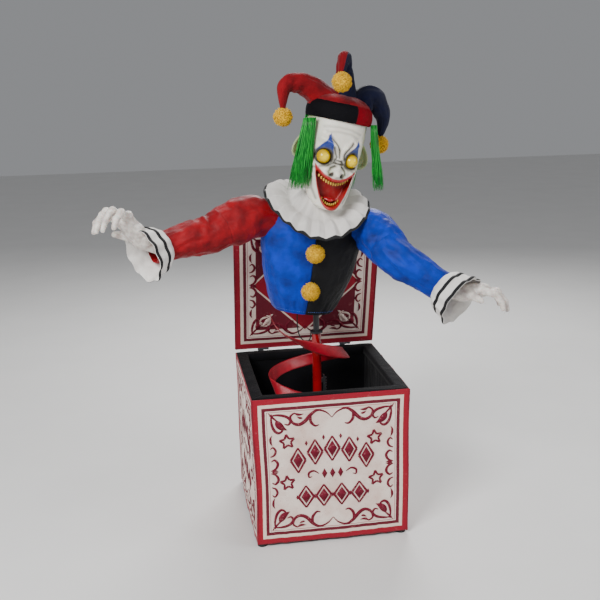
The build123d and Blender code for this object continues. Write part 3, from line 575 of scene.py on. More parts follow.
# Printed ornament -----------------------------------------------------------------------------
def scroll(x, y, heading, turn, length, curl, width, steps=44):
    """A line that runs out and curls up at its end, closed by a round bead."""
    stroke = []
    for step in range(steps + 1):
        share = step / steps
        stroke.append((x, y, width * (0.3 + 0.7 * sin(pi * clamp(share * 0.9 + 0.1)))))
        heading += turn * curl * (1.1 * share ** 1.6 + 0.12) / steps
        x += cos(heading) * length / steps
        y += sin(heading) * length / steps
    bead = [(x + 1.5 * width * cos(pi * n / 8), y, 1.5 * width * sin(pi * n / 8)) for n in range(9)]
    return [stroke, bead]


def leaf(x, y, heading, length, width):
    """A pointed leaf."""
    stroke = []
    for step in range(13):
        share = step / 12
        bend = 0.12 * length * sin(pi * share)
        stroke.append(
            (
                x + cos(heading) * length * share - sin(heading) * bend,
                y + sin(heading) * length * share + cos(heading) * bend,
                width * sin(pi * share ** 0.75),
            )
        )
    return [stroke]


def star(x, y, radius, line):
    """An outlined five-pointed star, slightly turned."""
    corners = []
    for tip in range(11):
        reach = radius if tip % 2 == 0 else radius * 0.46
        turn = pi / 2 + tip * pi / 5 + 0.12
        corners.append((x + reach * cos(turn), y + reach * sin(turn), line))
    return [[corners[tip], corners[tip + 1]] for tip in range(10)]


def lozenge(x, y, wide, tall):
    """A solid harlequin diamond."""
    rows = []
    for step in range(-6, 7):
        share = step / 6
        rows.append((x, y + tall * share, wide * (1 - abs(share))))
    return [rows]


def mirrored(strokes):
    """The strokes with their mirror images left and right, and top and bottom."""
    found = []
    for sx in (1, -1):
        for sy in (1, -1):
            found += [[(x * sx, y * sy, width) for x, y, width in stroke] for stroke in strokes]
    return found


def vine(*spots):
    """A swelling line through (x, y, half width) spots."""
    return [[tuple(point) for point in smooth_line(spots, 6 * len(spots))]]


corner_curl = (
    (-196, -190, 1.5),
    (-170, -191, 3.6),
    (-144, -184, 4.6),
    (-131, -170, 4.2),
    (-138, -157, 3.0),
    (-150, -160, 1.4),
)
corner_flourish = (
    vine((-199, -199, 1.2), (-186, -184, 3.2), (-170, -168, 2.4))
    + leaf(-176, -174, radians(45), 50, 11)
    + vine(*corner_curl)
    + vine(*[(y, x, width) for x, y, width in corner_curl])
    + leaf(-118, -194, radians(8), 30, 4)
    + leaf(-194, -118, radians(82), 30, 4)
)
middle_flourish = (
    vine(
        (0, -170, 1.0),
        (18, -189, 2.4),
        (44, -198, 3.6),
        (66, -186, 5.4),
        (86, -164, 6.0),
        (106, -155, 5.2),
        (125, -164, 4.4),
        (131, -183, 3.4),
        (118, -194, 2.4),
        (109, -186, 1.4),
    )
    + vine((68, -184, 4.2), (67, -162, 4.6), (54, -147, 3.4), (41, -149, 1.4))
    + leaf(92, -176, radians(-20), 20, 3.5)
)
side_flourish = (
    vine((-199, 4, 1.4), (-182, 12, 3.8), (-176, 28, 4.4), (-186, 41, 3.4), (-197, 36, 1.4))
    + vine((-199, 52, 1.4), (-186, 58, 3.4), (-181, 72, 3.8), (-189, 84, 2.8), (-198, 78, 1.2))
    + leaf(-196, 0, radians(4), 22, 4)
    + leaf(-196, 100, radians(76), 26, 3.4)
)
frame_print = mirrored(corner_flourish) + mirrored(middle_flourish) + mirrored(side_flourish)


def framed_lozenge(x, y, wide, tall):
    """A harlequin diamond: an outline round a solid middle."""
    top = (x, y + tall, 2.6)
    rim = [top, (x + wide, y, 4.2), (x, y - tall, 2.6), (x - wide, y, 4.2), top]
    return [[rim[n], rim[n + 1]] for n in range(4)] + lozenge(x, y, wide * 0.66, tall * 0.66)


centre_print = []
for number in range(-2, 3):
    centre_print += framed_lozenge(number * 55, 66 - 8 * number * number, 24, 42)
    if number < 2:
        centre_print += lozenge(number * 55 + 27.5, 108 - 8 * (number + 0.5) ** 2, 5, 9)
for number in (-1, 0, 1):
    centre_print += lozenge(number * 26, -17, 9, 17)
for side in (-1, 1):
    hook = ((44, -16, 1.2), (60, -6, 3), (76, -12, 3.6), (76, -27, 2.4), (66, -25, 1))
    centre_print += vine(*[(side * x, y, width) for x, y, width in hook])
for number in (-1.5, -0.5, 0.5, 1.5):
    centre_print += framed_lozenge(number * 58, -92, 25, 37)
for number in (-2, -1, 0, 1, 2):
    centre_print += lozenge(number * 58, -92, 4, 9)
for x, y in ((-143, 100), (138, 92), (-146, -40), (142, -48)):
    centre_print += star(x, y, 25, 3.4)


def print_on(name, strokes, surface, material, body, slot, step=7.0, lift=0.9):
    """Lays strokes on a surface; surface(x, y, lift) gives a point, in mm across the cloth."""
    points = []
    faces = []
    for stroke in strokes:
        dense = [stroke[0]]
        for a, b in zip(stroke, stroke[1:]):
            count = max(1, int(hypot(b[0] - a[0], b[1] - a[1]) / step + 0.99))
            dense += [tuple(p + (q - p) * n / count for p, q in zip(a, b)) for n in range(1, count + 1)]
        first = len(points)
        for place, (x, y, width) in enumerate(dense):
            a, b = dense[max(place - 1, 0)], dense[min(place + 1, len(dense) - 1)]
            dx, dy = b[0] - a[0], b[1] - a[1]
            reach = max(hypot(dx, dy), 1e-6)
            nx, ny = -dy / reach, dx / reach
            width = max(width, 0.05)
            points.append(surface(x + nx * width, y + ny * width, lift))
            points.append(surface(x - nx * width, y - ny * width, lift))
            if place:
                start = first + 2 * place
                faces.append((start - 2, start - 1, start + 1, start))
    piece = from_faces(name, points, faces)
    select_only(piece)
    modify(piece, "SOLIDIFY", thickness=0.0005, offset=-1)
    return give(smooth(piece), material, body, slot)


for side in walls:
    print_on(
        "print_" + side,
        frame_print + centre_print,
        lambda x, y, lift, side=side: wall_point(side, x, y + 245, lift),
        ink,
        "box",
        "printed_cover",
    )

# Rim and lining -------------------------------------------------------------------------------
def square_ring(share, reach, corner):
    """A point on a square with rounded corners, that far round it."""
    side = int(share * 4) % 4
    t = (share * 4) % 1.0 * 2 - 1
    x = t * reach
    give_in = corner * (abs(t) ** 8)
    _, face, right, _ = list(walls.values())[side]
    out, across = reach - give_in, x * (1 - give_in / reach)
    return face[0] * out + right[0] * across, face[1] * out + right[1] * across


rim_profile = [
    (0, 248.2, 499.4),
    (0.08, 248.4, 501),
    (0.2, 246.5, 502.4),
    (0.5, 236, 503.4),
    (0.78, 218, 502.6),
    (0.9, 211, 499),
    (1, 209.5, 478),
]


def rim_point(u, v):
    """The black hem: over the rim from the outer edge to the inner one and down inside."""
    reach, z = along(rim_profile, v)
    x, y = square_ring(u, reach, 2.0)
    sag = 1.4 * ripple(u * 40, v * 2.0, 3)
    return at(x, y, z + sag * sin(pi * v))


hem = shaped("rim_hem", 320, 16, rim_point, (2.0, 0.06), closed=True)
modify(hem, "SOLIDIFY", thickness=0.0015, offset=-1)
give(hem, black_twill, "box", "black_cloth", ["top_hem"])


def lining_point(u, v):
    """The lining hangs inside the frame in loose folds."""
    z = 60 + 438 * v
    slack = 3.0 * sin(pi * v) * ripple(u * 44, v * 3.0, 11) + 1.5 * ripple(u * 90, v * 5, 2)
    x, y = square_ring(u, 212.5 + slack, 3.0)
    return at(x, y, z)


lining = shaped("box_lining_cloth", 240, 40, lining_point, (1.7, 0.44), closed=True)
select_only(lining)
bpy.ops.object.mode_set(mode="EDIT")
bpy.ops.mesh.select_all(action="SELECT")
bpy.ops.mesh.flip_normals()
bpy.ops.object.mode_set(mode="OBJECT")
modify(lining, "SOLIDIFY", thickness=0.0012, offset=-1)
give(lining, black_twill, "box", "black_cloth", ["box_lining"])

# Piping down the four corners
for corner, (sx, sy) in enumerate(outward):
    line = []
    for step in range(50):
        z = 10 + 488 * step / 49
        give_in = corner_shift(corner, z) + 0.6
        line.append(at(sx * (250 - give_in), sy * (250 - give_in), z))
    seam = tube_round(
        f"corner_piping_{corner}", line, lambda u, v: 0.0024 + 0.0003 * ripple(u * 3, v * 60), 10, (0.015, 0.5)
    )
    give(seam, piping, "box", "printed_cover")

# Flap lid -------------------------------------------------------------------------------------
def flap_point(x, z, lift=0.0):
    """A point on the flap's inner cover; x and z from its middle, in mm, lift towards the front."""
    fade = (1 - (abs(x) / 250) ** 8) * (1 - (abs(z) / 250) ** 8)
    wave = 1.3 * ripple(x / 60, z / 80, 21) + 1.1 * sin(x / 70 + z / 50)
    return lid @ at(x, 0.6 - fade * (wave + 0.4) - lift, z + FLAP_MIDDLE)


flap = shaped("flap_inner_cover", 100, 100, lambda u, v: flap_point(u * 500 - 250, v * 500 - 250), (0.5, 0.5))
modify(flap, "SOLIDIFY", thickness=0.0018, offset=-1)
give(flap, printed_flap, "lid", "printed_cover", ["lid_inner_cover"])

fleur = (
    leaf(-128, -128, radians(45), -46, 9)
    + leaf(-128, -128, radians(45), 18, 4)
    + scroll(-132, -126, radians(178), 1, 44, 4.2, 3.6)
    + scroll(-126, -132, radians(272), -1, 44, 4.2, 3.6)
    + leaf(-140, -118, radians(-45), 31, 2.4)
)
print_on("flap_flowers", mirrored(fleur), flap_point, pale_ink, "lid", "printed_cover")
print_on("print_flap", frame_print, flap_point, ink, "lid", "printed_cover")


tray_profile = [
    (0, 249.4, 2.6),
    (0.1, 250.4, 7),
    (0.28, 250.2, 22),
    (0.36, 247.5, 29),
    (0.44, 238, 30.6),
    (0.7, 130, 31.4),
    (1.0, 0.4, 31.6),
]


def tray_point(u, v):
    """The outer cover: a shallow tray of cloth drawn over the back of the flap."""
    reach, depth = along(tray_profile, v)
    x, z = square_ring(u, reach, 3.0 if v < 0.5 else 0.0)
    wave = 1.2 * ripple(x / 60, z / 70, 33) * ease(0.3, 0.6, v)
    return lid @ at(x, depth + wave - 0.8, z + FLAP_MIDDLE)


tray = shaped("flap_outer_cover", 240, 60, tray_point, (0.5, 0.5), closed=True)
for corner, vertex in zip(tray.data.uv_layers.active.data, tray.data.loops):
    local = lid.inverted() @ tray.data.vertices[vertex.vertex_index].co
    corner.uv = (local.x + 0.25, local.z - 0.008)
merge(tray, 0.001)
face_outwards(tray)
modify(tray, "SOLIDIFY", thickness=0.0018, offset=-1)
give(smooth(tray), printed_cover, "lid", "printed_cover", ["lid_outer_cover"])
print_on(
    "print_flap_back",
    frame_print + centre_print,
    lambda x, y, lift: lid @ at(-x, 31.0 + 1.2 * ripple(-x / 60, y / 70, 33) + lift, y + 258),
    ink,
    "lid",
    "printed_cover",
)
edge_line = []
flap_corners = [(-250, -250), (-250, 250), (250, 250), (250, -250), (-250, -250)]
for (ax, az), (bx, bz) in zip(flap_corners, flap_corners[1:]):
    for step in range(50):
        share = step / 50
        edge_line.append(lid @ at(ax + (bx - ax) * share, 1.2, 258 + az + (bz - az) * share))
edge_line.append(edge_line[0].copy())
flap_piping = tube_round("flap_piping", edge_line, lambda u, v: 0.0026, 10, (0.016, 2.0))
give(flap_piping, piping, "lid", "printed_cover")

# Tunic ----------------------------------------------------------------------------------------
tunic_rows = [
    (0, 76, 50, 20),
    (0.03, 88, 62, 10),
    (0.07, 97, 67, 16),
    (0.15, 116, 77, 50),
    (0.36, 143, 87, 130),
    (0.6, 160, 89, 228),
    (0.78, 160, 81, 296),
    (0.89, 146, 66, 335),
    (0.96, 106, 50, 354),
    (1.0, 70, 36, 360),
]


def tunic_point(side, u, v):
    """One half of the tunic, from the front seam round to the back seam."""
    wide, deep, z = along(tunic_rows, v)
    turn = pi * u
    x = sin(turn)
    y = -cos(turn)
    square = 1 + 0.07 * (2 * x * y) ** 2 * ease(0.1, 0.4, v)
    drop = 1 - ease(0.5, 0.9, v) * 0.4
    folds = 3.0 * ripple(x * 2.6 + side * 4, z / 90, y * 2) + 1.6 * ripple(x * 9 + side, z / 34, y * 8)
    gather = (1 - ease(0.0, 0.25, v)) * 2.2 * ease(0.02, 0.1, v)
    gather *= sin(17 * turn + 2 * ripple(x * 3, y * 3, side))
    stretch = 2.2 * sin(z / 22 + 3.0 * x) * bump(abs(x), 0.85, 0.35) * ease(0.3, 0.7, v)
    out = drop * folds + gather + stretch
    seam = -2.2 * (bump(u, 0, 0.02) + bump(u, 1, 0.02))
    out += seam
    return torso @ at(side * x * (wide * square + out), y * (deep * square + out), z)


for side, material, name in ((-1, blue_satin, "tunic_blue"), (1, black_satin, "tunic_black")):
    body = shaped(
        name + "_satin",
        110,
        120,
        lambda u, v, side=side: tunic_point(side, u if side > 0 else 1 - u, v),
        (0.36, 0.37),
    )
    modify(body, "SOLIDIFY", thickness=0.0016, offset=-1)
    give(body, material, "torso", name.replace("tunic_", "") + "_satin", [name])

# Stitching along the hem
stitches = []
for side in (-1, 1):
    for number in range(46):
        u = 0.02 + 0.96 * number / 46
        a = tunic_point(side, u, 0.085)
        b = tunic_point(side, u + 0.012, 0.085)
        middle = torso @ at(0, 0, 30)
        out = ((a + b) / 2 - middle).normalized() * 0.0006
        stitches.append((a + out, b + out))


def stitch_mesh(name, ends, radius):
    points = []
    faces = []
    for a, b in ends:
        way = (b - a).normalized()
        up = way.orthogonal().normalized()
        aside = way.cross(up)
        first = len(points)
        for point, size in ((a, 0.4), ((a + b) / 2, 1.0), (b, 0.4)):
            for corner in range(4):
                turn = tau * corner / 4
                points.append(point + (up * cos(turn) + aside * sin(turn)) * radius * size)
        for ring in (0, 4):
            for corner in range(4):
                other = (corner + 1) % 4
                low = first + ring
                faces.append((low + corner, low + other, low + 4 + other, low + 4 + corner))
        faces += [(first + 3, first + 2, first + 1, first), (first + 8, first + 9, first + 10, first + 11)]
    return from_faces(name, points, faces)


thread = hard("pale_blue_thread", "#5F86D8", "#3F66C0", 5, 1, 0.05, (0.6, 0.8))
give(smooth(stitch_mesh("hem_stitches", stitches, 0.0008)), thread, "torso", "blue_satin")

# Collar ---------------------------------------------------------------------------------------
NECK_SHARE = 0.24


def collar_point(u, v):
    """A big gathered ruff: it rises round the neck and its pleats open out towards a scalloped edge."""
    turn = radians(-176 + 352 * u)
    front = (1 + cos(turn)) / 2
    inner = 80 + 30 * front ** 2
    outer = 110 + 47 * front + 38 * abs(sin(turn))
    inner_z = 402 - 76 * front ** 2
    outer_z = 404 - 133 * front ** 3
    pleat = cos(21 * turn + 1.5 * ripple(u * 12, 0.5))
    sharp = pleat * (0.75 + 0.25 * pleat * pleat)
    if v < NECK_SHARE:
        share = 1 - v / NECK_SHARE
        radius = inner - (inner - 52) * share
        z = inner_z + 66 * front * share ** 1.3 - 12 * (1 - front) * share
        deep = 2.2 * (1 - 0.5 * share)
    else:
        share = ((v - NECK_SHARE) / (1 - NECK_SHARE)) ** 0.9
        deep = (2.2 + 19.0 * share - 17.5 * share ** 4) * (0.85 + 0.5 * ripple(u * 22, 1.7))
        radius = inner + (outer - inner) * share
        z = inner_z + (outer_z - inner_z) * share + 15 * sin(pi * share) * (1 - 0.3 * front)
    radius += sharp * deep * 0.12 + 3.0 * ripple(u * 16, v)
    return torso @ at(radius * sin(turn), -radius * cos(turn), z + sharp * deep * 0.8)


collar_cloth, tree, shader = finish("white_cotton_ruff_with_black_edge", Sheen_Weight=0.1)
spot = add(tree, "TexCoord", {}).outputs["UV"]
axis = add(tree, "SeparateXYZ", {"Vector": spot})
edged = add(tree, "MapRange", {"Value": axis.outputs["Y"], "From Min": 0.1195, "From Max": 0.1203})
soil = add(tree, "TexNoise", {"Vector": spot, "Scale": 30.0, "Detail": 5.0})
linen = add(tree, "Mix", {0: soil.outputs["Fac"], 6: tint("#E6E3DE"), 7: tint("#BEB8B4")}, data_type="RGBA")
both = add(tree, "Mix", {0: edged.outputs[0], 6: linen.outputs[2], 7: tint("#060608")}, data_type="RGBA")
tree.links.new(both.outputs[2], shader.inputs["Base Color"])
dull = add(tree, "MapRange", {"Value": soil.outputs["Fac"], "To Min": 0.7, "To Max": 0.95})
tree.links.new(dull.outputs[0], shader.inputs["Roughness"])
tree.links.new(woven_relief(tree, spot, 1.0, 0.2, 1.2), shader.inputs["Normal"])

ruff = shaped("collar_ruff", 640, 34, lambda u, v: collar_point(1 - u, v), (0.9, 0.13))
modify(ruff, "SOLIDIFY", thickness=0.0012, offset=0)
give(ruff, collar_cloth, "torso", "white_cloth", ["collar_ruffle"])

# Arms -----------------------------------------------------------------------------------------
CUFF_LENGTH = 0.082
arms = {
    "left": {
        "side": -1,
        "shoulder": at(-149, 0, 1052.6),
        "elbow": at(-352, -70, 989),
        "wrist": at(-520, -130, 963),
        "knuckles": at(-612, -162, 1078),
        "tip": at(-652, -205, 1010),
        "cuff_turned": Vector((0.0, -0.3, -0.12)),
        "satin": red_satin,
        "slot": "red_satin",
    },
    "right": {
        "side": 1,
        "shoulder": at(148, 0, 1010.8),
        "elbow": at(238, -165, 899),
        "wrist": at(388, -230, 795),
        "knuckles": at(486, -262, 808),
        "tip": at(520, -285, 740),
        "cuff_turned": Vector((0.0, -0.62, -0.1)),
        "satin": blue_satin,
        "slot": "blue_satin",
    },
}


sleeve_rows = [(0, 38), (0.1, 50), (0.2, 66), (0.3, 70), (0.4, 67)]
sleeve_rows += [(0.5, 61), (0.62, 56), (0.8, 50), (0.94, 45), (1.0, 44)]
cuff_rows = [(0, 45), (0.08, 56), (0.25, 66), (0.5, 72), (0.75, 77), (1.0, 84)]


def sleeve_radius(seed):
    """The sleeve's outline: full at the armhole and gathered at the wrist, creased at the elbow."""

    def radius(u, share):
        base = along(sleeve_rows, share)[0]
        turn = tau * u
        across, over = cos(turn), sin(turn)
        slant = share * 9 + 0.9 * across
        drawn = 3.5 - 10 * abs(ripple(1.0 * across + seed, 1.0 * over, slant * 0.42))
        creased = 1.5 - 5 * abs(ripple(1.6 * across + seed, 1.6 * over + 4, slant * 0.8))
        elbow_folds = sin(share * 60 + 2.6 * sin(turn + seed) + 2.5 * ripple(across, over, seed + share * 4))
        creases = 2.6 * (bump(share, 0.62, 0.1) + 0.5 * bump(share, 0.95, 0.05))
        elbow_folds *= creases * (0.5 + 0.5 * sin(turn + seed))
        fine = 0.25 * ripple(4 * across + seed, 4 * over, share * 14)
        return (base + drawn + 0.7 * creased + elbow_folds + fine) * MM

    return radius


def nail_radius(u, v):
    return 0.0056 * (1.02 - v) ** 0.6 * (1 + 0.15 * cos(2 * tau * u))


for name, arm in arms.items():
    side = arm["side"]
    root = torso @ at(side * 74, 2, 288)
    shoulder, elbow, wrist = arm["shoulder"], arm["elbow"], arm["wrist"]
    past = shoulder.lerp(elbow, 0.22) + at(0, 0, -12)
    mid = shoulder.lerp(elbow, 0.62) + at(0, 0, -3)
    line = smooth_line([root, past, mid, elbow + at(0, 0, -3), elbow.lerp(wrist, 0.5), wrist], 181)
    radius = sleeve_radius(3.0 + side)
    cut = 84
    upper_line, lower_line = line[: cut + 6], line[cut:]
    upper = tube_round(
        name + "_sleeve_upper",
        upper_line,
        lambda u, v: radius(u, v * (cut + 5) / 180) - 0.0012 * ease(0.93, 1.0, v),
        72,
        (0.42, 0.28),
    )
    # The lower tube goes on from the same ring, so its directions across start as the upper ones end
    rings = crossings(line)

    def lower_place(u, v):
        return round_point(rings[cut + round(v * (180 - cut))], radius(u, (cut + v * (180 - cut)) / 180), u)

    lower = shaped(name + "_sleeve_lower", 72, 180 - cut, lower_place, (0.38, 0.26), closed=True)
    for tube, node in ((upper, "_upper_sleeve"), (lower, "_lower_sleeve")):
        modify(tube, "SOLIDIFY", thickness=0.0015, offset=-1)
        give(tube, arm["satin"], None, arm["slot"], [name + node])
    way = (elbow - shoulder).normalized()
    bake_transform(upper)
    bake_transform(lower)

    # Cuff: a flared double frill with two bands of black braid
    aim = (wrist - elbow).normalized()
    heel = wrist - aim * 0.040
    flare = (aim + arm["cuff_turned"]).normalized()
    cuff_line = [heel + flare * CUFF_LENGTH * step / 40 for step in range(41)]

    def cuff_radius(u, v, seed=side):
        frill = 2.0 * ripple(u * 10 + seed, v * 2)
        frill += (0.8 + 3.4 * v) * sin(tau * u * 9 + 2 * ripple(u * 6, seed))
        return (along(cuff_rows, v)[0] + frill) * MM

    cuff = tube_round(name + "_cuff_frill", cuff_line, cuff_radius, 180, (0.48, 0.1))
    modify(cuff, "SOLIDIFY", thickness=0.0016, offset=-1)
    give(cuff, white_cotton, name + "_fore", "white_cloth", [name + "_cuff"])
    cuff_ring = crossings(cuff_line)[0]
    for number, where in enumerate((0.45, 0.93)):

        def braid_place(u, v, where=where):
            share = where + (v - 0.5) * 0.13
            ring = (heel + flare * CUFF_LENGTH * share, *cuff_ring[1:])
            return round_point(ring, cuff_radius(u, clamp(share)) + 0.0012 * sin(pi * v), u)

        braid = shaped(f"{name}_cuff_braid_{number}", 180, 5, braid_place, (0.48, 0.011), closed=True)
        modify(braid, "SOLIDIFY", thickness=0.0012, offset=1)
        give(braid, black_braid, name + "_fore", "white_cloth")

    # Hand: palm, four hooked fingers and a thumb moulded in one piece
    palm_start = wrist + aim * 0.004
    reach = arm["knuckles"] - palm_start
    droop = arm["tip"] - arm["knuckles"]
    across = reach.cross(droop).normalized()
    back = reach.cross(across).normalized()
    if back.dot(droop) > 0:
        back = -back
    hand_parts = []

    def bead(point, size, flat=None):
        """A rounded lump of the hand, flattened across the back of it if flat is given."""
        deselect()
        bpy.ops.mesh.primitive_uv_sphere_add(segments=20, ring_count=12, radius=size, location=point)
        lump = bpy.context.object
        if flat:
            lump.rotation_euler = Matrix((reach.normalized(), across, back)).transposed().to_euler()
            lump.scale = flat
        bpy.ops.object.transform_apply(location=True, rotation=True, scale=True)
        hand_parts.append(lump)

    def bone(a, b, size_a, size_b):
        """Overlapping lumps from one joint to the next."""
        count = max(2, int((b - a).length / (min(size_a, size_b) * 0.45)))
        for step in range(count + 1):
            share = step / count
            bead(a.lerp(b, share), size_a + (size_b - size_a) * share)

    bone(palm_start - aim * 0.03, palm_start.lerp(arm["knuckles"], 0.25), 0.025, 0.027)
    palm = ((0.3, 0.04, (1, 0.95, 0.7)), (0.52, 0.043, (1, 1.02, 0.62)), (0.78, 0.041, (1, 1.06, 0.56)))
    for share, size, flat in palm:
        bead(palm_start.lerp(arm["knuckles"], share), size, flat)
    claws = []
    for finger in range(4):
        offset = (finger - 1.5) / 1.5
        shift = across * 0.034 * offset
        long = (0.86, 1.0, 0.97, 0.76)[finger]
        root = arm["knuckles"] + shift - reach.normalized() * (0.010 + 0.006 * abs(offset))
        middle = root + shift * 0.45 + reach.normalized() * 0.040 * long + droop * 0.16
        second = middle + shift * 0.1 + droop * 0.42 * long + reach.normalized() * 0.006
        tip = second + droop * 0.34 * long - reach.normalized() * 0.006
        bone(palm_start.lerp(arm["knuckles"], 0.6) + shift * 0.7 + back * 0.006, root, 0.0125, 0.0135)
        bead(root + back * 0.003, 0.0155)
        bone(root, middle, 0.0132, 0.0115)
        bead(middle, 0.0136)
        bone(middle, second, 0.0114, 0.0102)
        bead(second, 0.0117)
        bone(second, tip, 0.0098, 0.0078)
        claws.append((tip, (tip - second).normalized()))
    thumb_root = palm_start.lerp(arm["knuckles"], 0.35) - across * 0.026
    thumb_mid = thumb_root - across * 0.022 + reach.normalized() * 0.022 - back * 0.010
    thumb_tip = thumb_mid - across * 0.006 + reach.normalized() * 0.024 - back * 0.018
    bone(thumb_root, thumb_mid, 0.0175, 0.0145)
    bone(thumb_mid, thumb_tip, 0.0138, 0.009)
    claws.append((thumb_tip, (thumb_tip - thumb_mid).normalized()))
    hand = joined(name + "_hand_latex", hand_parts)
    modify(hand, "REMESH", mode="VOXEL", voxel_size=0.0022)
    modify(hand, "SMOOTH", iterations=6, factor=0.5)
    for vertex in hand.data.vertices:
        vertex.co += vertex.normal * 0.0006 * ripple(vertex.co.x * 160, vertex.co.y * 160, vertex.co.z * 160)
    give(smooth(hand), hand_latex, name + "_fore", "latex_white", [name + "_hand"])
    nails = []
    for tip, way in claws:
        start = tip - way * 0.004 + back * 0.002
        line = [start + way * 0.018 * step / 6 - back * 0.003 * (step / 6) ** 2 for step in range(7)]
        nails.append(tube_round("nail", line, nail_radius, 12, (0.02, 0.02)))
    claw_piece = joined(name + "_claws", nails)
    modify(claw_piece, "REMESH", mode="VOXEL", voxel_size=0.0011)
    give(smooth(claw_piece), claw_resin, name + "_fore", "latex_white")

# Mask -----------------------------------------------------------------------------------------
head_rows = [
    (-150, 26, 22, -84),
    (-142, 44, 38, -72),
    (-120, 60, 58, -50),
    (-90, 72, 76, -32),
    (-60, 80, 88, -20),
    (0, 88, 106, -2),
    (60, 92, 108, 0),
    (124, 92, 102, 2),
    (152, 70, 78, 2),
    (166, 40, 46, 2),
]


def upper_lip(x):
    return -63 + 31 * (abs(x) / MOUTH_HALF) ** 2.0


def lower_lip(x):
    return -139 + 107 * (abs(x) / MOUTH_HALF) ** 2.4


frown_folds = [
    [(-40, 72), (-19, 53), (-4, 34), (0, 12)],
    [(36, 62), (19, 40), (14, 22), (17, 9)],
    [(-24, 40), (-17, 29), (-8, 12), (-12, 3)],
    [(-8, 4), (10, 2)],
    [(-10, -5), (12, -7)],
    [(-11, -14), (-22, -22), (-27, -34), (-20, -45), (-13, -43)],
    [(11, -14), (22, -22), (27, -34), (20, -45), (13, -43)],
]
cheek_folds = [
    [(-12, -2), (-30, -16), (-50, -22), (-70, -30), (-74, -52)],
    [(12, -2), (30, -16), (50, -22), (70, -30), (74, -52)],
    [(-66, -60), (-60, -92), (-44, -122)],
    [(66, -60), (60, -92), (44, -122)],
]
brow_lines = [
    [(-60, 96), (-20, 102), (20, 100), (58, 92)],
    [(-50, 84), (-12, 88), (26, 86), (50, 78)],
]


def from_lines(lines, x, z):
    """The distance from a point of the face to the nearest of some lines."""
    nearest = 999.0
    for line in lines:
        for (ax, az), (bx, bz) in zip(line, line[1:]):
            dx, dz = bx - ax, bz - az
            share = clamp(((x - ax) * dx + (z - az) * dz) / (dx * dx + dz * dz))
            nearest = min(nearest, hypot(x - ax - dx * share, z - az - dz * share))
    return nearest


def mouth_gap(x, z):
    """How far a point of the face is outside the mouth; negative inside it."""
    return max(z - upper_lip(x), lower_lip(x) - z, (abs(x) - MOUTH_HALF) * 1.4)


def face_relief(x, z):
    """How far the face stands out from the egg of the head, in mm."""
    ax = abs(x)
    brow_line = 30 + 0.42 * ax
    out = 15 * bump(z, brow_line + 6, 10) * ease(4, 18, ax) * (1 - ease(62, 80, ax))
    out -= 13 * bump(ax, 44, 25) * bump(z, 8, 23)
    out += 17 * bump(x, 0, 12) * bump(z, -24, 22)
    out += 9 * bump(x, 1, 9) * bump(z, -44, 8)
    out += 11 * bump(ax, 21, 8) * bump(z, -32, 10)
    out -= 9 * bump(ax, 15, 4.5) * bump(z, -40, 6.5)
    out += 14 * bump(ax, 56, 17) * bump(z, -20, 14)
    out -= 6.0 * bump(from_lines(frown_folds, x, z), 0, 4.2)
    out += 3.5 * bump(from_lines(frown_folds, x, z), 8, 4)
    out -= 5.0 * bump(from_lines(cheek_folds, x, z), 0, 4.5)
    out -= 2.4 * bump(from_lines(brow_lines, x, z), 0, 3.5)
    gap = mouth_gap(x, z)
    out += 8.0 * bump(gap, 5, 6) * ease(-8, 1, gap)
    out += 12 * bump(x, 0, 18) * bump(z, -150, 14)
    out -= 9 * bump(ax, 76, 14) * bump(z, -72, 26)
    return out


def head_point(u, v):
    level = head_rows[0][0] + (head_rows[-1][0] - head_rows[0][0]) * v
    wide, deep, middle = along(head_rows, level)
    turn = tau * u
    x, y = sin(turn), -cos(turn)
    front = ease(-0.05, 0.5, -y)
    shape = Vector((x * wide, middle + y * deep, level))
    shape.y -= front * face_relief(shape.x, level)
    shape.x += 1.3 * ripple(shape.x / 30, shape.y / 30, level / 26)
    return shape * MM


skull = shaped("mask_latex", 200, 190, head_point, closed=True)
close_ends(skull)
face_outwards(skull)


def ear(side):
    """A large cupped ear that stands out from the head and faces forwards."""

    def place(u, v):
        turn = tau * u
        wide = 25 * v * (1 - 0.25 * sin(turn))
        tall = 36 * v * (1 + 0.22 * bump(turn, pi / 2, 0.6))
        fold = 5.0 * bump(v, 0.86, 0.1) - 4.0 * bump(v, 0.62, 0.14) + 3.0 * bump(v, 0.38, 0.12)
        forward = 6 - 15 * v ** 2 * (0.5 + 0.5 * cos(turn)) - fold
        return at(side * (101 + wide * cos(turn)), 14 + forward, 20 + tall * sin(turn))

    lobe = shaped("ear", 64, 26, place, closed=True)
    merge(lobe, 0.0003)
    return modify(lobe, "SOLIDIFY", thickness=0.007, offset=0)


ears = [ear(-1), ear(1)]
cutters = []
for side in (-1, 1):
    deselect()
    socket = at(side * EYE_X, -88, EYE_Z)
    bpy.ops.mesh.primitive_uv_sphere_add(segments=32, ring_count=20, radius=0.0232, location=socket)
    bpy.ops.object.transform_apply(location=True)
    cutters.append(bpy.context.object)
outline = []
for step in range(41):
    x = -MOUTH_HALF + 2 * MOUTH_HALF * step / 40
    outline.append((x, upper_lip(x)))
for step in range(1, 40):
    x = MOUTH_HALF - 2 * MOUTH_HALF * step / 40
    outline.append((x, lower_lip(x)))
count = len(outline)
points = [at(x, y, z) for y in (-150, -58) for x, z in outline]
faces = [tuple(range(count)), tuple(range(2 * count - 1, count - 1, -1))]
faces += [(n, n + count, (n + 1) % count + count, (n + 1) % count) for n in range(count)]
mouth_cutter = from_faces("mouth_cutter", points, faces)
face_outwards(mouth_cutter)
cutters.append(mouth_cutter)
mask = joined("mask_latex", [skull, *ears])
modify(mask, "REMESH", mode="VOXEL", voxel_size=0.0024)
for cutter in cutters:
    modify(mask, "BOOLEAN", operation="DIFFERENCE", object=cutter, solver="EXACT")
    bpy.data.objects.remove(cutter)
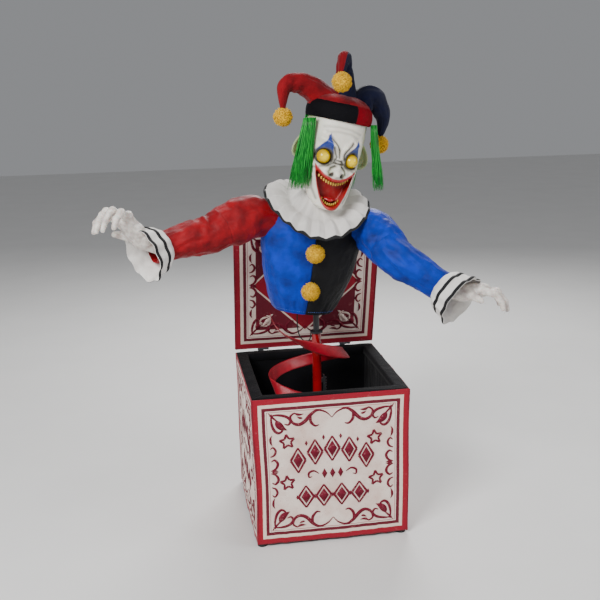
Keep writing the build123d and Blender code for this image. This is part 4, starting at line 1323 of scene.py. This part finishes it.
modify(mask, "REMESH", mode="VOXEL", voxel_size=0.0022)
modify(mask, "SMOOTH", iterations=2, factor=0.5)
WHITE = Vector(tint("#E6E1D4")[:3])
GREEN_GREY_SHADE = Vector(tint("#9DAA80")[:3])
SHADE = Vector(tint("#4B4A3A")[:3])
FOLD_SHADE = Vector(tint("#39352A")[:3])
BLUE = Vector(tint("#06318F")[:3])
LIP_RED = Vector(tint("#A0040C")[:3])
MOUTH_DEPTH_SHADE = Vector(tint("#96040A")[:3])
RECESS_SHADE = Vector(tint("#2B2622")[:3])
layer = mask.data.attributes.new("paint_and_shade", "FLOAT_COLOR", "POINT")
for vertex in mask.data.vertices:
    x, y, z = vertex.co / MM
    ax = abs(x)
    wide, deep, middle = along(head_rows, z)
    depth = y - (middle - deep * sqrt(max(0.0, 1 - min(1.0, (x / wide) ** 2))))
    colour = WHITE.copy()
    facing = 1 - ease(-45, -5, y)
    # Painted shade: grey-green towards the sides, the ears and the back of the head, where it turns from the
    # light
    colour = colour.lerp(GREEN_GREY_SHADE, clamp(0.8 * (ease(62, 92, ax) + ease(-40, 30, y))))
    # Painted shade: dark in the frown, cheek and brow creases, and beside and under the nose
    fold_shade_share = 0.95 * bump(from_lines(frown_folds, x, z), 0, 3.2)
    fold_shade_share += 0.6 * bump(from_lines(cheek_folds, x, z), 0, 3.4)
    fold_shade_share += 0.3 * bump(from_lines(brow_lines, x, z), 0, 4) + 0.35 * bump(ax, 15, 14) * bump(z, -8, 13)
    fold_shade_share += 0.5 * bump(x, 0, 13) * bump(z, -50, 6) + 0.35 * bump(ax, 30, 10) * bump(z, -12, 9)
    colour = colour.lerp(FOLD_SHADE, clamp(fold_shade_share * facing))
    # Painted shade: grey-green round the wings of the nose
    colour = colour.lerp(GREEN_GREY_SHADE, 0.4 * bump(ax, 22, 9) * bump(z, -34, 12) * facing)
    for side in (-1, 1):
        from_eye = hypot(x - side * EYE_X, z - EYE_Z)
        local = x - side * EYE_X
        apex = 7.0 if side < 0 else 10.0
        rise = (z - 24) / (60 if side < 0 else 52)
        spread = 25 * clamp(1 - rise) ** 1.25
        if y < -20 and 0 <= rise + 0.25 <= 1.25 and from_eye > 24:
            colour = colour.lerp(BLUE, 1 - ease(spread - 2, spread + 1.5, abs(local - apex * clamp(rise))))
        colour = colour.lerp(SHADE, 0.6 * (1 - ease(25, 35, from_eye)) * (y < -20))
        # Painted shade: near black in the gap round each eye dome
        colour = colour.lerp(RECESS_SHADE, (1 - ease(24, 28.5, from_eye)) * (y < -20))
        # Painted shade: near black inside each nostril
        pit = hypot((x - side * 15) / 5.0, (z + 40) / 7.0)
        colour = colour.lerp(RECESS_SHADE, 0.9 * (1 - ease(0.7, 1.3, pit)) * (y < -60))
    gap = mouth_gap(x, z)
    if y < -30:
        colour = colour.lerp(LIP_RED, 1 - ease(9, 11.5, gap))
        if gap < 1.5:
            # Painted shade: the inside of the mouth goes darker the deeper it lies
            colour = colour.lerp(MOUTH_DEPTH_SHADE, ease(6, 20, depth))
    layer.data[vertex.index].color = (*colour, 1.0)
mask.data.transform(head)
give(smooth(mask), mask_latex, None, "latex_white", ["mask_shell", "jaw_shell"])
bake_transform(mask)


# Teeth and tongue
def tooth_row(name, spots, body, material, slot, nodes):
    made = []
    for x, y, z, wide, tall, turn in spots:
        deselect()
        bpy.ops.mesh.primitive_cube_add(size=1, location=(0, 0, 0))
        tooth = bpy.context.object
        tooth.scale = at(wide, 5.0, tall)
        bpy.ops.object.transform_apply(location=True, rotation=True, scale=True)
        for vertex in tooth.data.vertices:
            if vertex.co.z * (1 if tall > 0 else -1) < 0:
                vertex.co.x *= 0.7
                vertex.co.y *= 0.6
        modify(tooth, "SUBSURF", levels=2, render_levels=2)
        tooth.data.transform(head @ Matrix.Translation(at(x, y, z)) @ Matrix.Rotation(turn, 4, "Z"))
        made.append(tooth)
    row = joined(name, made)
    modify(row, "WELD", merge_threshold=0.00001)
    return give(smooth(row), material, body, slot, nodes)


upper_spots = []
lower_spots = []
for number in range(-6, 7):
    x = number * 7.7
    bow = abs(x) / MOUTH_HALF
    upper_spots.append((x, -96 + 26 * bow ** 2, upper_lip(x) - 6.0, 8.4, 14.5 - abs(number) * 0.5, x * 0.008))
for number in range(-4, 5):
    x = number * 6.6
    bow = abs(x) / MOUTH_HALF
    lower_spots.append((x, -98 + 40 * bow ** 2, lower_lip(x) + 6.5, 6.6, -11.0, x * 0.01))
tooth_row("upper_tooth_row", upper_spots, "head", tooth_resin, "teeth_yellow", ["upper_teeth"])
tooth_row("lower_tooth_row", lower_spots, "jaw", tooth_resin, "teeth_yellow", ["lower_teeth"])


def tongue_point(u, v):
    turn = tau * u
    y = -62 - 34 * v
    wide = 24 * (1 - 0.35 * v ** 3) * sin(pi * clamp(0.08 + 0.9 * v)) ** 0.35
    thick = 8.5 * (1 - 0.5 * v)
    groove = 2.0 * bump(turn, pi / 2, 0.35)
    x = wide * cos(turn)
    z = -126 + 9 * sin(pi * v * 0.8) + thick * sin(turn) - groove * (sin(turn) > 0)
    return head @ at(x, y, z)


tongue = shaped("tongue", 40, 26, tongue_point, (0.1, 0.04), closed=True)
close_ends(tongue)
face_outwards(tongue)
give(tongue, tongue_latex, "jaw", "latex_white")

# Hair -----------------------------------------------------------------------------------------
chance = Random(11)
strand_points = []
strand_faces = []
locks = [
    (at(-24, -90, 1334), at(-62, -84, 1116), (19, 10), (34, 16), 460),
    (at(180, -66, 1304), at(196, -62, 1098), (9, 10), (17, 12), 240),
]
for step in range(26):
    turn = radians(102 + 156 * step / 25)
    out = 1.0 + 0.05 * sin(7 * step)
    start = head @ at(94 * out * sin(turn), 2 - 105 * out * cos(turn), 128)
    finish_at = head @ at(90 * out * sin(turn), 4 - 98 * out * cos(turn), -88)
    locks.append((start, finish_at, (11, 6), (13, 9), 34))
for top, bottom, spread_top, spread_bottom, number_of in locks:
    for _ in range(number_of):
        turn = chance.uniform(0, tau)
        reach = sqrt(chance.uniform(0, 1))
        dx, dy = reach * cos(turn), reach * sin(turn)
        long = chance.uniform(0.74, 1.0)
        width = chance.uniform(0.9, 1.7) * MM
        phase = chance.uniform(0, tau)
        first = len(strand_points)
        rings = 9
        for ring in range(rings):
            share = ring / (rings - 1)
            wide = spread_top[0] + (spread_bottom[0] - spread_top[0]) * share
            deep = spread_top[1] + (spread_bottom[1] - spread_top[1]) * share
            centre = top.lerp(top.lerp(bottom, long), share) + at(dx * wide, dy * deep, 0)
            centre += at(3.0 * sin(phase + 4 * share), 2.2 * cos(phase + 5 * share), 0) * share
            size = width * (1 - 0.75 * share ** 3)
            for corner in range(3):
                angle = phase + tau * corner / 3
                strand_points.append(centre + Vector((cos(angle), sin(angle) * 0.5, 0)) * size)
        for ring in range(rings - 1):
            for corner in range(3):
                other = (corner + 1) % 3
                a = first + 3 * ring
                strand_faces.append((a + corner, a + 3 + corner, a + 3 + other, a + other))
        strand_faces.append((first, first + 1, first + 2))
        end = first + 3 * (rings - 1)
        strand_faces.append((end + 2, end + 1, end))
hair = from_faces("hair_strands", strand_points, strand_faces)
face_outwards(hair)
give(smooth(hair), hair_nylon, "head", "green_hair", ["hair_locks"])

# Hat ------------------------------------------------------------------------------------------
two_tone, tree, shader = finish("black_and_red_velvet_band", Specular_IOR_Level=0.1)
spot = add(tree, "TexCoord", {}).outputs["UV"]
pieces = add(tree, "SeparateXYZ", {"Vector": spot})
nap = add(tree, "TexNoise", {"Vector": spot, "Scale": 40.0, "Detail": 5.0})
dark = add(tree, "Mix", {0: nap.outputs["Fac"], 6: tint("#040406"), 7: tint("#0E0D12")}, data_type="RGBA")
light = add(tree, "Mix", {0: nap.outputs["Fac"], 6: tint("#8E0216"), 7: tint("#5A010C")}, data_type="RGBA")
first_seam = add(tree, "Math", {0: pieces.outputs["X"], 1: 0.36}, operation="GREATER_THAN")
last_seam = add(tree, "Math", {0: pieces.outputs["X"], 1: 0.6}, operation="LESS_THAN")
between = add(tree, "Math", {0: first_seam.outputs[0], 1: last_seam.outputs[0]}, operation="MULTIPLY")
tone = add(tree, "Mix", {0: between.outputs[0], 6: dark.outputs[2], 7: light.outputs[2]}, data_type="RGBA")
tree.links.new(tone.outputs[2], shader.inputs["Base Color"])
pile = add(tree, "MapRange", {"Value": nap.outputs["Fac"], "To Min": 0.65, "To Max": 0.9})
tree.links.new(pile.outputs[0], shader.inputs["Roughness"])
tree.links.new(woven_relief(tree, spot, 1.2, 0.2, 2.4), shader.inputs["Normal"])


band_rows = [(0, 93, 104, 126), (0.06, 98, 108, 121), (0.2, 103, 112, 125)]
band_rows += [(0.5, 105, 113, 142), (0.8, 102, 109, 162), (1.0, 92, 100, 174)]


def band_point(u, v):
    """A padded band round the forehead; u runs from the back round by the left side."""
    turn = tau * u + pi
    x, y = sin(turn), cos(turn)
    wide, deep, z = along(band_rows, v)
    soft = 1.8 * ripple(3 * x, 3 * y, v * 2 + 5)
    return head @ at((wide + soft) * x, 1 - (deep + soft) * y, z + 1.5 * ripple(2 * x, 2 * y, 9))


band = shaped("hat_band_velvet", 180, 24, band_point, (0.66, 0.06), closed=True)
modify(band, "SOLIDIFY", thickness=0.003, offset=-1)
give(band, two_tone, "head", "black_satin", ["hat_band"])


def crown_point(u, v):
    turn = tau * u
    reach, rise = cos(v * pi / 2) ** 0.8, sin(v * pi / 2)
    x, y = sin(turn), cos(turn)
    puff = 2.0 * ripple(3 * x, 3 * y, v * 3 + 8)
    return head @ at((94 + puff) * reach * x, 2 - (102 + puff) * reach * y, 168 + (34 + puff) * rise)


crown = shaped("hat_crown_velvet", 96, 30, crown_point, (0.6, 0.15), closed=True)
merge(crown, 0.0002)
give(crown, red_velvet, "head", "red_satin")

split_velvet, tree, shader = finish("red_and_navy_velvet", Sheen_Weight=0.06, Specular_IOR_Level=0.15)
spot = add(tree, "TexCoord", {}).outputs["UV"]
pieces = add(tree, "SeparateXYZ", {"Vector": spot})
nap = add(tree, "TexNoise", {"Vector": spot, "Scale": 40.0, "Detail": 5.0})
dark = add(tree, "Mix", {0: nap.outputs["Fac"], 6: tint("#04071E"), 7: tint("#0A1030")}, data_type="RGBA")
light = add(tree, "Mix", {0: nap.outputs["Fac"], 6: tint("#860210"), 7: tint("#520108")}, data_type="RGBA")
navy_half = add(tree, "Math", {0: pieces.outputs["X"], 1: 0.15, 2: 0.075}, operation="COMPARE")
tone = add(tree, "Mix", {0: navy_half.outputs[0], 6: light.outputs[2], 7: dark.outputs[2]}, data_type="RGBA")
tree.links.new(tone.outputs[2], shader.inputs["Base Color"])
pile = add(tree, "MapRange", {"Value": nap.outputs["Fac"], "To Min": 0.65, "To Max": 0.9})
tree.links.new(pile.outputs[0], shader.inputs["Roughness"])
tree.links.new(woven_relief(tree, spot, 1.2, 0.2, 2.4), shader.inputs["Normal"])

horns = {
    "left": (
        (-52, 4),
        [(-30, -20, 1432), (-88, -32, 1428), (-99, -40, 1362)],
        (54, 45, 34, 24, 12),
        red_velvet,
        "red_satin",
    ),
    "centre": (
        (14, -4),
        [(98, -24, 1470), (88, -76, 1508), (65, -132, 1456)],
        (50, 40, 27, 19, 12),
        split_velvet,
        "red_satin",
    ),
    "right": (
        (54, 6),
        [(190, -4, 1386), (226, 2, 1328), (219, 8, 1264)],
        (50, 46, 38, 24, 12),
        navy_velvet,
        "black_satin",
    ),
}
for name, (seat, bends, sizes, material, slot) in horns.items():
    low = head @ at(seat[0], seat[1], 150)
    base = head @ at(seat[0], seat[1], 176)
    line = smooth_line([low, base, *[at(*bend) for bend in bends]], 110)
    table = [*zip((0, 0.22, 0.48, 0.76, 0.93), sizes), (1.0, sizes[4] * 0.7)]
    seed = len(name)

    def horn_radius(u, v, table=table, seed=seed):
        turn = tau * u
        soft = 0.07 * ripple(2 * cos(turn), 2 * sin(turn), v * 7 + seed)
        crease = 0.035 * sin(v * 46 + 2 * sin(turn + seed)) * bump(v, 0.55, 0.25)
        seam = -0.05 * (bump((u * 2) % 1.0, 0, 0.03) + bump((u * 2) % 1.0, 1, 0.03))
        return along(table, v)[0] * (1 + soft + crease + seam) * MM

    horn = tube_round("hat_horn_" + name + "_velvet", line, horn_radius, 72, (0.3, 0.3))
    close_ends(horn)
    give(horn, material, "head", slot, ["hat_horn_" + name])


# Pom-poms -------------------------------------------------------------------------------------
def pompom(centre, radius, seed):
    """A ball of cut yarn ends."""
    luck = Random(seed)
    deselect()
    bpy.ops.mesh.primitive_ico_sphere_add(subdivisions=5, radius=1, location=(0, 0, 0))
    ball = bpy.context.object
    for vertex in ball.data.vertices:
        spot = vertex.co.copy()
        fuzz = 0.07 * ripple(*(spot * 5 + Vector((seed, 0, 0)))) + 0.05 * noise.noise(spot * 19)
        vertex.co = spot * (radius * (0.88 + fuzz))
    points = []
    faces = []
    for _ in range(620):
        z = luck.uniform(-1, 1)
        turn = luck.uniform(0, tau)
        level = sqrt(1 - z * z)
        way = Vector((level * cos(turn), level * sin(turn), z))
        bent = (way + Vector([luck.uniform(-0.22, 0.22) for _ in range(3)])).normalized()
        up = bent.orthogonal().normalized()
        aside = bent.cross(up)
        start = way * radius * 0.78
        end = start + bent * radius * luck.uniform(0.2, 0.3)
        first = len(points)
        for point, size in ((start, 1.3), (end, 0.9)):
            for corner in range(4):
                angle = tau * corner / 4
                points.append(point + (up * cos(angle) + aside * sin(angle)) * size * MM)
        for corner in range(4):
            other = (corner + 1) % 4
            faces.append((first + corner, first + other, first + 4 + other, first + 4 + corner))
        faces += [(first + 3, first + 2, first + 1, first), (first + 4, first + 5, first + 6, first + 7)]
    ends = from_faces("ends", points, faces)
    whole = joined("pompom", [ball, ends])
    whole.data.transform(Matrix.Translation(centre))
    return whole


for name, centres, body, node in (
    ("chest_pompom_yarn", [torso @ at(0, -102, z) for z in (95, 217)], "torso", "chest_pompoms"),
    ("hat_pompom_yarn", [at(-99, -40, 1336), at(63, -150, 1437), at(217, 10, 1239)], "head", "hat_pompoms"),
):
    balls = [pompom(centre, 0.0295, 5 + number) for number, centre in enumerate(centres)]
    give(smooth(joined(name, balls)), yarn, body, "yellow_pompom", [node])


# Ribbon ---------------------------------------------------------------------------------------
def ribbon_point(u, v):
    """A wide satin ribbon that winds down round the mast and turns over as it goes."""
    turn = radians(200 + 430 * u)
    z = 698 - 268 * u ** 0.6
    tip_over = 0.75 * sin(3.4 * u * pi + 0.6) + 0.25 * ripple(u * 8, 1)
    height = (v - 0.5) * 40
    wave = 3.5 * sin(turn * 2.3 + 1) + 3 * ripple(u * 9, 3)
    reach_x = 126 + wave + height * sin(tip_over)
    reach_y = 92 + wave + height * sin(tip_over)
    cup = 2.0 * cos(pi * (v - 0.5))
    return at(-30 + (reach_x + cup) * cos(turn), (reach_y + cup) * sin(turn), z + height * cos(tip_over))


ribbon = shaped("spring_ribbon_satin", 260, 8, ribbon_point, (0.86, 0.04))
modify(ribbon, "SOLIDIFY", thickness=0.001, offset=0)
give(ribbon, ribbon_satin, None, "red_ribbon", ["spring_ribbon"])
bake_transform(ribbon)

# Waist lead -----------------------------------------------------------------------------------
lead_route = [
    (-22, 16, 880),
    (-22, 16, 850),
    (-36, 16, 808),
    (-52, 15, 756),
    (-61, 12, 704),
    (-63, 8, 654),
    (-57, 5, 618),
    (-38, 2, 598),
    (-18.5, 0, 606),
    (-18.5, 0, 630),
]
curve = bpy.data.curves.new("waist_lead_line", "CURVE")
curve.dimensions = "3D"
spline = curve.splines.new("NURBS")
spline.points.add(len(lead_route) - 1)
for spot, (x, y, z) in zip(spline.points, lead_route):
    spot.co = (*at(x, y, z), 1)
spline.order_u = 3
spline.use_endpoint_u = True
spline.resolution_u = 12
guide = bpy.data.objects.new("waist_lead_line", curve)
bpy.context.scene.collection.objects.link(guide)
route_mesh = bpy.data.meshes.new_from_object(guide)
lead_line = [vertex.co.copy() for vertex in route_mesh.vertices]
bpy.data.objects.remove(guide)
lead = tube_round("waist_lead_cable", lead_line, lambda u, v: 0.002, 12, (0.013, 0.31))
give(lead, lead_rubber, None, "lead_black", ["waist_lead"])
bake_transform(lead)
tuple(lead_line[0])

# Studio ---------------------------------------------------------------------------------------
deselect()
bpy.ops.mesh.primitive_plane_add(size=24, location=(0, 0, 0))
floor = bpy.context.object
floor.name = "studio_floor"
floor_paper, tree, shader = finish("pale_studio_paper", Roughness=0.9)
spot = add(tree, "TexCoord", {}).outputs["Object"]
fleck = add(tree, "TexNoise", {"Vector": spot, "Scale": 3.0, "Detail": 3.0})
pale = add(tree, "Mix", {0: fleck.outputs["Fac"], 6: tint("#DDDCDA"), 7: tint("#E6E5E3")}, data_type="RGBA")
tree.links.new(pale.outputs[2], shader.inputs["Base Color"])
floor.data.materials.append(floor_paper)
floor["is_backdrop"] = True

world = bpy.data.worlds.new("soft_studio")
world.use_nodes = True
world.node_tree.nodes["Background"].inputs["Color"].default_value = tint("#E4E6EA")
world.node_tree.nodes["Background"].inputs["Strength"].default_value = 0.34
bpy.context.scene.world = world
for name, place, size, power in (
    ("key", (-2.2, -2.6, 3.0), 1.6, 190),
    ("fill", (2.8, -1.6, 2.0), 2.0, 45),
    ("back", (0.8, 2.6, 2.8), 1.6, 110),
):
    lamp = bpy.data.lights.new(name, "AREA")
    lamp.size = size
    lamp.energy = power
    holder = bpy.data.objects.new(name, lamp)
    holder.location = place
    holder.rotation_euler = (Vector((0, 0, 0.75)) - Vector(place)).to_track_quat("-Z", "Y").to_euler()
    bpy.context.scene.collection.objects.link(holder)

# Camera ---------------------------------------------------------------------------------------
yaw, pitch, roll = radians(9.0384), radians(14.1872), radians(-1.2715)
forward = Vector((sin(yaw) * cos(pitch), cos(yaw) * cos(pitch), -sin(pitch)))
level_right = forward.cross(Vector((0, 0, 1))).normalized()
level_up = level_right.cross(forward)
right = level_right * cos(roll) + level_up * sin(roll)
up = level_up * cos(roll) - level_right * sin(roll)
view = bpy.data.cameras.new("camera")
view.sensor_width = 36
view.lens = 889.36 / 600 * view.sensor_width
camera = bpy.data.objects.new("camera", view)
turned = Matrix((right, up, -forward)).transposed().to_4x4()
camera.matrix_world = Matrix.Translation((-0.49726, -2.79587, 1.45937)) @ turned
bpy.context.scene.collection.objects.link(camera)
bpy.context.scene.camera = camera

sizes = {"cad": cad_box, "visual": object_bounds()}
{name: [list(map(float, corner)) for corner in box] for name, box in sizes.items()}
